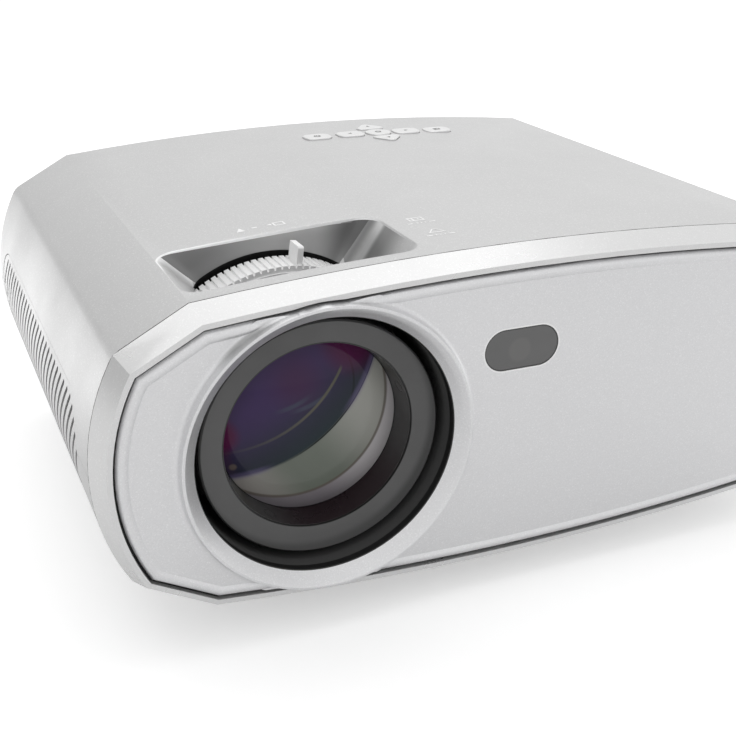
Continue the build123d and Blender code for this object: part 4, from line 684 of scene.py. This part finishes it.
# painted reflections on the glass, in millimetres right (x) and up (z) of the lens axis
glassArcs = {
    "crescent": {"centre": (-43.67, 0, 61.88), "radius": 79.73, "soft": 1.6, "line": 0.5},
    "rimBand": {"centre": (-8.02, 0, 11.40), "radius": 38.76, "soft": 0.8, "line": 1.1},
    "streak": {"centre": (-42.67, 0, 59.20), "radius": 65.82, "soft": 1.0, "line": 0.85},
    "innerArc": {"centre": (-3.81, 0, 17.87), "radius": 20.42, "soft": 1.2, "line": 0.7},
}
glassSpots = {     # centre, radius, softness
    "plum": ((-6.0, 0, 20.0), 8.0, 7.0), "leftMagenta": ((-35.5, 0, 1.0), 7.0, 2.5),
    "rightMagenta": ((18.0, 0, 33.0), 12.0, 5.0), "cell": ((-30.0, 0, -11.7), 1.3, 0.5),
    "hazeLeft": ((-7.5, 0, 11.0), 5.0, 4.0), "hazeRight": ((-1.0, 0, 10.5), 6.0, 4.0),
}
glassSides = {"down": (0.575, 0.0, -0.818), "along": (0.818, 0.0, 0.575), "upLeft": (-0.7, 0, 0.7),
              "right": (1.0, 0, 0)}
glassFades = {     # a side, and the two distances between which a tone turns into the next
    "navy": ("down", -24.0, 0.0), "teal": ("down", -4.0, 14.0), "innerArc": ("right", 9.0, 14.0),
    "rimGlow": ("upLeft", 4.0, 24.0),
    "streakStart": ("along", -40.0, 14.0), "streakEnd": ("along", 23.5, 21.0),
    "crescentDeep": ("along", 22.0, -6.0), "crescentWarm": ("along", -14.0, -34.0),
    "rimDeep": ("along", 14.0, -16.0), "crescentLine": ("along", -20.0, 0.0),
    "upperFringe": ("along", 10.0, 20.0), "lowerFringe": ("along", -18.0, -26.0),
}
glassShares = {"plum": 0.6, "haze": 0.7, "innerArc": 0.6, "rimGlow": 0.7, "rightMagenta": 0.8, "cell": 0.7,
               "brown": 0.8, "fringe": 0.45}
glassLines = {"hazeR": 36.0, "hazeShift": (-12, 0, 34), "hazeWidth": 1.3, "glowIn": 1.6, "glowWidth": 3.4,
              "fringeIn": 0.4, "fringeWidth": 2.2, "edgeIn": 0.2, "edgeWidth": 0.8}
glassFinish = {"smudges": 60.0, "gloss": (0.02, 0.05), "mirror": 0.18}
# the tones of the painted reflections and of the painted lit wall in the glass
glassReflectionTones = {
    "purple": (0.066, 0.038, 0.125), "magenta": (0.115, 0.014, 0.070), "navy": (0.026, 0.032, 0.048),
    "teal": (0.011, 0.038, 0.029), "streak": (0.125, 0.120, 0.092), "line": (0.008, 0.012, 0.012),
    "fringe": (0.17, 0.14, 0.28), "crescentPale": (0.40, 0.40, 0.37), "crescentDeep": (0.18, 0.20, 0.17),
    "crescentWarm": (0.36, 0.34, 0.32), "brown": (0.14, 0.12, 0.10), "rimPale": (0.55, 0.53, 0.54),
    "rimDeep": (0.24, 0.22, 0.24), "plum": (0.075, 0.026, 0.070), "haze": (0.070, 0.080, 0.120),
    "cell": (0.20, 0.16, 0.13),
}


def paintedReflectionGlass():
    # coated glass over a dark barrel, painted: reflections in the coatings' violet, magenta and green,
    # streaks and arcs, and the lit pale lower wall seen through it as painted light
    material, tree, shader, place = startMaterial("paintedReflectionGlass")
    plane = frontPlane(tree, place, lensX, 0)
    tones, shares, lines = glassReflectionTones, glassShares, glassLines
    arcs = {name: placeGroup(tree, arcGroup, plane, Centre=arc["centre"], Radius=arc["radius"],
                             Softness=arc["soft"], Line_Width=arc["line"]).outputs
            for name, arc in glassArcs.items()}

    def fade(name):
        side, low, high = glassFades[name]
        return axisGradient(tree, plane, glassSides[side], low, high)

    def patch(name):
        return spot(tree, plane, *glassSpots[name])

    inner = mixed(tree, fade("navy"), tones["purple"], tones["navy"])
    inner = mixed(tree, fade("teal"), inner, tones["teal"])
    inner = mixed(tree, times(tree, patch("plum"), shares["plum"]), inner, tones["plum"])
    for name in ("hazeLeft", "hazeRight"):
        centre = tuple(a + b for a, b in zip(glassSpots[name][0], lines["hazeShift"]))
        haze = times(tree, arcLine(tree, plane, centre, lines["hazeR"], lines["hazeWidth"]), patch(name))
        inner = mixed(tree, times(tree, haze, shares["haze"]), inner, tones["haze"])
    innerArc = times(tree, arcs["innerArc"]["Line"], fade("innerArc"))
    inner = mixed(tree, times(tree, innerArc, shares["innerArc"]), inner, tones["line"])
    glow = arcLine(tree, plane, middle, glassSizes["edgeR"] - lines["glowIn"], lines["glowWidth"])
    glow = times(tree, glow, fade("rimGlow"))
    inner = mixed(tree, times(tree, glow, shares["rimGlow"]), inner, tones["plum"])
    inner = mixed(tree, patch("leftMagenta"), inner, tones["magenta"])
    inner = mixed(tree, times(tree, patch("rightMagenta"), shares["rightMagenta"]), inner, tones["magenta"])
    streak = times(tree, arcs["streak"]["Line"], times(tree, fade("streakStart"), fade("streakEnd")))
    inner = mixed(tree, streak, inner, tones["streak"])
    inner = mixed(tree, times(tree, patch("cell"), shares["cell"]), inner, tones["cell"])

    # painted light: the lit pale lower wall seen through the glass, as a crescent
    pale = mixed(tree, fade("crescentDeep"), tones["crescentPale"], tones["crescentDeep"])
    pale = mixed(tree, fade("crescentWarm"), pale, tones["crescentWarm"])
    band = mixed(tree, fade("rimDeep"), tones["rimPale"], tones["rimDeep"])
    pale = mixed(tree, arcs["rimBand"]["Outside"], pale, band)
    pale = mixed(tree, times(tree, arcs["rimBand"]["Line"], shares["brown"]), pale, tones["brown"])

    whole = mixed(tree, arcs["crescent"]["Outside"], inner, pale)
    whole = mixed(tree, times(tree, arcs["crescent"]["Line"], fade("crescentLine")), whole, tones["line"])
    crescent = glassArcs["crescent"]
    for name in ("upperFringe", "lowerFringe"):
        fringe = arcLine(tree, plane, crescent["centre"], crescent["radius"] - lines["fringeIn"],
                         lines["fringeWidth"])
        fringe = times(tree, fringe, times(tree, fade(name), shares["fringe"]))
        whole = mixed(tree, fringe, whole, tones["fringe"])
    edge = arcLine(tree, plane, middle, glassSizes["edgeR"] - lines["edgeIn"], lines["edgeWidth"])
    whole = mixed(tree, edge, whole, tones["line"])
    link(tree, whole, shader.inputs["Base Color"])
    grain = placeGroup(tree, grainGroup, place, Smudge_Scale=glassFinish["smudges"])
    link(tree, ranged(tree, grain.outputs["Smudge"], *glassFinish["gloss"]), shader.inputs["Roughness"])
    shader.inputs["Specular IOR Level"].default_value = glassFinish["mirror"]
    return material


def sag(radius, depth, r):
    # how far a dome of this radius and depth has fallen at r from its middle
    ball = (radius ** 2 + depth ** 2) / (2 * depth)
    return ball - math.sqrt(ball ** 2 - r ** 2)


def placePiece(name, bm, material, body):
    mesh = bpy.data.meshes.new(name)
    bm.to_mesh(mesh)
    bm.free()
    mesh.polygons.foreach_set("use_smooth", [True] * len(mesh.polygons))
    mesh.set_sharp_from_angle(angle=softEdge["sharp"])
    mesh.materials.append(material)
    piece = bpy.data.objects.new(name, mesh)
    scene.collection.objects.link(piece)
    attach(piece, body)
    return piece


def makeFrontGlass():
    # a profile of (radius, y), turned about the lens axis: the dome in front, the hollow at the back
    s = glassSizes
    profile = []
    for k in range(s["domeRings"] + 1):
        r = s["edgeR"] * k / s["domeRings"]
        profile.append((r, s["vertexY"] + sag(s["edgeR"], s["edgeY"] - s["vertexY"], r)))
    for k in range(s["backRings"] + 1):
        r = s["edgeR"] * (1 - k / s["backRings"])
        profile.append((r, s["backY"] - s["hollow"] + sag(s["edgeR"], s["hollow"], r)))
    bm = bmesh.new()
    corners = [bm.verts.new((r, y, 0)) for r, y in profile]
    edges = [bm.edges.new(pair) for pair in zip(corners, corners[1:])]
    bmesh.ops.spin(bm, geom=corners + edges, cent=(0, 0, 0), axis=(0, 1, 0), angle=2 * math.pi,
                   steps=s["steps"], use_merge=True, use_duplicate=False)
    bmesh.ops.remove_doubles(bm, verts=bm.verts, dist=s["merge"])
    bmesh.ops.recalc_face_normals(bm, faces=bm.faces)
    bmesh.ops.scale(bm, vec=(mm, mm, mm), verts=bm.verts)
    bmesh.ops.translate(bm, vec=at(lensX, 0, 0), verts=bm.verts)
    glass = placePiece("frontGlass", bm, paintedReflectionGlass(), "lens_barrel")
    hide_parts("front_lens")


makeFrontGlass()
print("front glass made")


printSizes = {"above": 200, "lift": 0.06, "thick": 0.03, "line": 0.6, "arcSteps": 20}
# printed signs beside the well, in drawing millimetres seen from above: bars as x from, x to, y from, y to
topBars = [
    (-84.6, -82.5, 77.1, 78.3),
    (-75.9, -71.2, 75.5, 76.3), (-75.9, -71.2, 79.0, 79.8),
    (-75.9, -75.2, 76.3, 79.0), (-71.9, -71.2, 76.3, 79.0),
    (-27.9, -21.4, 54.6, 55.4), (-27.9, -21.4, 58.3, 59.1),
    (-27.9, -27.2, 55.4, 58.3), (-22.1, -21.4, 55.4, 58.3),
    (-26.2, -25.5, 55.4, 58.3), (-23.9, -23.2, 56.2, 57.6),
    (-25.0, -23.2, 41.5, 42.3), (-27.8, -20.6, 37.8, 38.6),
]
# rows of dashes: the row's y, and each dash as x and length
dashRows = {51.6: ((-30.1, 1.9), (-26.45, 0.7), (-24.85, 0.7), (-23.15, 0.7), (-21.2, 2.6)),
            34.8: ((-30.3, 2.5), (-26.65, 0.7), (-24.85, 0.7), (-23.05, 0.7), (-21.0, 2.5))}
dashHalf = 0.5
topWedges = [
    ((-91.2, 75.6), (-87.8, 75.6), (-89.0, 80.2)),
    ((-78.6, 78.0), (-76.6, 76.6), (-76.6, 79.0)),
    ((-27.8, 38.0), (-27.1, 38.0), (-24.4, 42.2), (-25.0, 42.2)),
    ((-21.3, 38.0), (-20.6, 38.0), (-23.2, 42.2), (-23.8, 42.2)),
]
# signs on the keys, from each key's middle: corners as distance and degrees, arcs as radius, start and sweep
keySigns = {
    "arrow": ((1.3, 90), (1.1, 216), (1.1, -36)),
    "turns": {"key_left": 90, "key_right": -90, "key_up": 0, "key_down": 180},
    "arcs": {"key_power": (1.5, 120, 300), "key_ok": (1.3, 0, 359)},
    "bars": {"key_power": ((-0.25, 0.25, 0.4, 2.1),),
             "key_source": ((-1.8, 1.8, -1.3, -0.8), (-1.8, 1.8, 0.8, 1.3), (1.3, 1.8, -0.8, 0.8),
                            (-1.8, -0.2, -0.25, 0.25))},
}


def addBar(bm, left, right, front, back):
    made = bmesh.ops.create_grid(bm, x_segments=3, y_segments=3, size=0.5)["verts"]
    bmesh.ops.scale(bm, vec=(right - left, back - front, 1), verts=made)
    bmesh.ops.translate(bm, vec=((left + right) / 2, (front + back) / 2, 0), verts=made)


def addWedge(bm, corners):
    bm.faces.new([bm.verts.new((x, y, 0)) for x, y in corners])


def addArc(bm, x, y, radius, start, sweep):
    # part of a printed ring, swept from a short line
    half = printSizes["line"] / 2
    ends = [bm.verts.new((x + math.cos(start) * r, y + math.sin(start) * r, 0))
            for r in (radius - half, radius + half)]
    bmesh.ops.spin(bm, geom=ends + [bm.edges.new(ends)], cent=(x, y, 0), axis=(0, 0, 1), angle=sweep,
                   steps=printSizes["arcSteps"], use_duplicate=False)


def printOn(name, bm, node, tone, body):
    # a thin printed layer laid on the top of a node
    surface = BVHTree.FromObject(nodes[node], bpy.context.evaluated_depsgraph_get())
    for vert in bm.verts:
        hit = surface.ray_cast(at(vert.co.x, vert.co.y, printSizes["above"]), Vector((0, 0, -1)))[0]
        vert.co = hit + Vector((0, 0, printSizes["lift"] * mm))
    for face in bm.faces:
        face.normal_update()
        if face.normal.z < 0:
            face.normal_flip()
    bmesh.ops.solidify(bm, geom=bm.faces[:], thickness=printSizes["thick"] * mm)
    bmesh.ops.recalc_face_normals(bm, faces=bm.faces)
    placePiece(name, bm, tone, body)


def nodeMiddle(node):
    # the middle of a node seen from above, in drawing millimetres
    low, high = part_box(node)
    return (low[0] + high[0]) / 2 / mm, (low[1] + high[1]) / 2 / mm + crestToMiddle


def makeTopPrint():
    bm = bmesh.new()
    for bar in topBars:
        addBar(bm, *bar)
    for y, dashes in dashRows.items():
        for x, length in dashes:
            addBar(bm, x, x + length, y - dashHalf, y + dashHalf)
    for corners in topWedges:
        addWedge(bm, corners)
    printOn("printedSigns", bm, "top_cover", whitePrint, "case")


def makeKeyPrint():
    # generic signs: a switch mark, arrows, a ring for the middle key and a box for the source
    for key in ("key_power", "key_ok", "key_source", "key_left", "key_right", "key_up", "key_down"):
        x, y = nodeMiddle(key)
        bm = bmesh.new()
        if key in keySigns["turns"]:
            points = [(r, math.radians(keySigns["turns"][key] + angle)) for r, angle in keySigns["arrow"]]
            addWedge(bm, [(x + r * math.cos(a), y + r * math.sin(a)) for r, a in points])
        if key in keySigns["arcs"]:
            radius, start, sweep = keySigns["arcs"][key]
            addArc(bm, x, y, radius, math.radians(start), math.radians(sweep))
        for left, right, front, back in keySigns["bars"].get(key, ()):
            addBar(bm, x + left, x + right, y + front, y + back)
        printOn(key.replace("key_", "") + "Sign", bm, key, greyPrint, key)


whitePrint = mouldedPlastic("whitePrint", grey(0.92), grey(0.88), 0.45, 1500.0, 0.1, 0.00002)
greyPrint = mouldedPlastic("greyPrint", grey(0.10), grey(0.08), 0.45, 1500.0, 0.1, 0.00002)
makeTopPrint()
makeKeyPrint()
print("printed signs made")


# the floor glows: seenLift for what sees it straight, and for mirrors more behind the object than before it;
# the weaker glow before it is painted shade, standing in for the object's shadow
floorSizes = {"size": 12.0, "tone": 0.80, "seenLift": 0.42, "nearLift": 0.10, "farLift": 0.95,
              "near": -0.10, "far": 0.15, "farSide": (0.5, 0.87, 0)}


def litByView(tree, straight=1.0, mirrored=1.0):
    # how much camera and transmission rays see, and how much glossy rays see, of an added light
    path = addNode(tree, "ShaderNodeLightPath")
    first = maths(tree, "MAXIMUM", path.outputs["Is Camera Ray"], path.outputs["Is Transmission Ray"])
    return maths(tree, "MAXIMUM", times(tree, first, straight),
                 times(tree, path.outputs["Is Glossy Ray"], mirrored))


def makeFloor():
    s = floorSizes
    bm = bmesh.new()
    bmesh.ops.create_grid(bm, x_segments=1, y_segments=1, size=s["size"] / 2)
    mesh = bpy.data.meshes.new("floor")
    bm.to_mesh(mesh)
    bm.free()
    floor = bpy.data.objects.new("floor", mesh)
    scene.collection.objects.link(floor)
    material = bpy.data.materials.new("paleFloor")
    material.use_nodes = True
    tree = material.node_tree
    tree.nodes.clear()
    out = addNode(tree, "ShaderNodeOutputMaterial")
    matt = addNode(tree, "ShaderNodeBsdfDiffuse")
    matt.inputs["Color"].default_value = (*grey(s["tone"]), 1)
    glow = addNode(tree, "ShaderNodeEmission")
    place = addNode(tree, "ShaderNodeTexCoord")
    behind = axisGradient(tree, place.outputs["Object"], s["farSide"], s["near"], s["far"])
    mirrored = ranged(tree, behind, s["nearLift"], s["farLift"])
    link(tree, litByView(tree, s["seenLift"], mirrored), glow.inputs["Strength"])
    both = addNode(tree, "ShaderNodeAddShader")
    link(tree, matt.outputs[0], both.inputs[0])
    link(tree, glow.outputs[0], both.inputs[1])
    link(tree, both.outputs[0], out.inputs["Surface"])
    mesh.materials.append(material)


# how bright the room is, away from and towards its bright side: above for matt surfaces, behind on the
# right for mirrors; frontLevel is what mirrors see in front
room = {
    "diffuse": {"side": (0.0, 0.25, 0.97), "levels": (0.30, 0.80), "from": -0.3, "to": 0.6},
    "glossy": {"side": (0.65, 0.57, -0.45), "levels": (0.48, 1.0), "from": -0.20, "to": 0.56},
    "front": {"side": (0.0, -1.0, 0.0), "levels": (0.0, 1.0), "from": 0.1, "to": 0.5},
    "frontLevel": 0.93,
}


def blendValue(tree, mask, first, second):
    node = addNode(tree, "ShaderNodeMix", data_type="FLOAT")
    link(tree, mask, node.inputs[0])
    for socket, value in ((node.inputs[2], first), (node.inputs[3], second)):
        if isinstance(value, float):
            socket.default_value = value
        else:
            link(tree, value, socket)
    return node.outputs[0]


def makeWorld():
    world = bpy.data.worlds.new("softRoom")
    scene.world = world
    world.use_nodes = True
    tree = world.node_tree
    back = tree.nodes["Background"]
    back.inputs["Color"].default_value = (1, 1, 1, 1)
    direction = addNode(tree, "ShaderNodeTexCoord").outputs["Generated"]
    path = addNode(tree, "ShaderNodeLightPath")
    diffuse, glossy, front = (
        ranged(tree, axisGradient(tree, direction, part["side"], part["from"], part["to"]), *part["levels"])
        for part in (room["diffuse"], room["glossy"], room["front"]))
    mirrored = blendValue(tree, front, glossy, room["frontLevel"])
    shown = blendValue(tree, litByView(tree), diffuse, mirrored)
    link(tree, blendValue(tree, path.outputs["Is Camera Ray"], shown, 1.0), back.inputs["Strength"])


topBox = {"place": (0.0, 0.30, 1.6), "aim": (0, 0.1, 0.07), "size": (2.0, 1.8), "power": 9.0}


def makeTopBox():
    light = bpy.data.lights.new("topBox", "AREA")
    light.shape = "RECTANGLE"
    light.size, light.size_y = topBox["size"]
    light.energy = topBox["power"]
    lamp = bpy.data.objects.new("topBox", light)
    lamp.location = topBox["place"]
    lamp.rotation_euler = (Vector(topBox["aim"]) - lamp.location).to_track_quat("-Z", "Y").to_euler()
    scene.collection.objects.link(lamp)


# the photograph's view, fitted to the object's outline: the camera's place and its three directions
view = {
    "place": (-0.2143, -0.4616, 0.2636),
    "right": (0.91958, -0.39287, 0.00531),
    "up": (0.15065, 0.36505, 0.91872),
    "forward": (0.36287, 0.84403, -0.39488),
    "lens": 56.87, "sensor": 36.0, "clip": 0.01,
}


def makeCamera():
    data = bpy.data.cameras.new("photoView")
    data.lens = view["lens"]
    data.sensor_width = view["sensor"]
    data.clip_start = view["clip"]
    camera = bpy.data.objects.new("photoView", data)
    right, up, forward = (Vector(view[k]) for k in ("right", "up", "forward"))
    turn = Matrix((right, up, -forward)).transposed().to_4x4()
    camera.matrix_world = Matrix.Translation(view["place"]) @ turn
    scene.collection.objects.link(camera)
    scene.camera = camera


makeFloor()
makeWorld()
makeTopBox()
makeCamera()
print("stage, lamps and camera set")
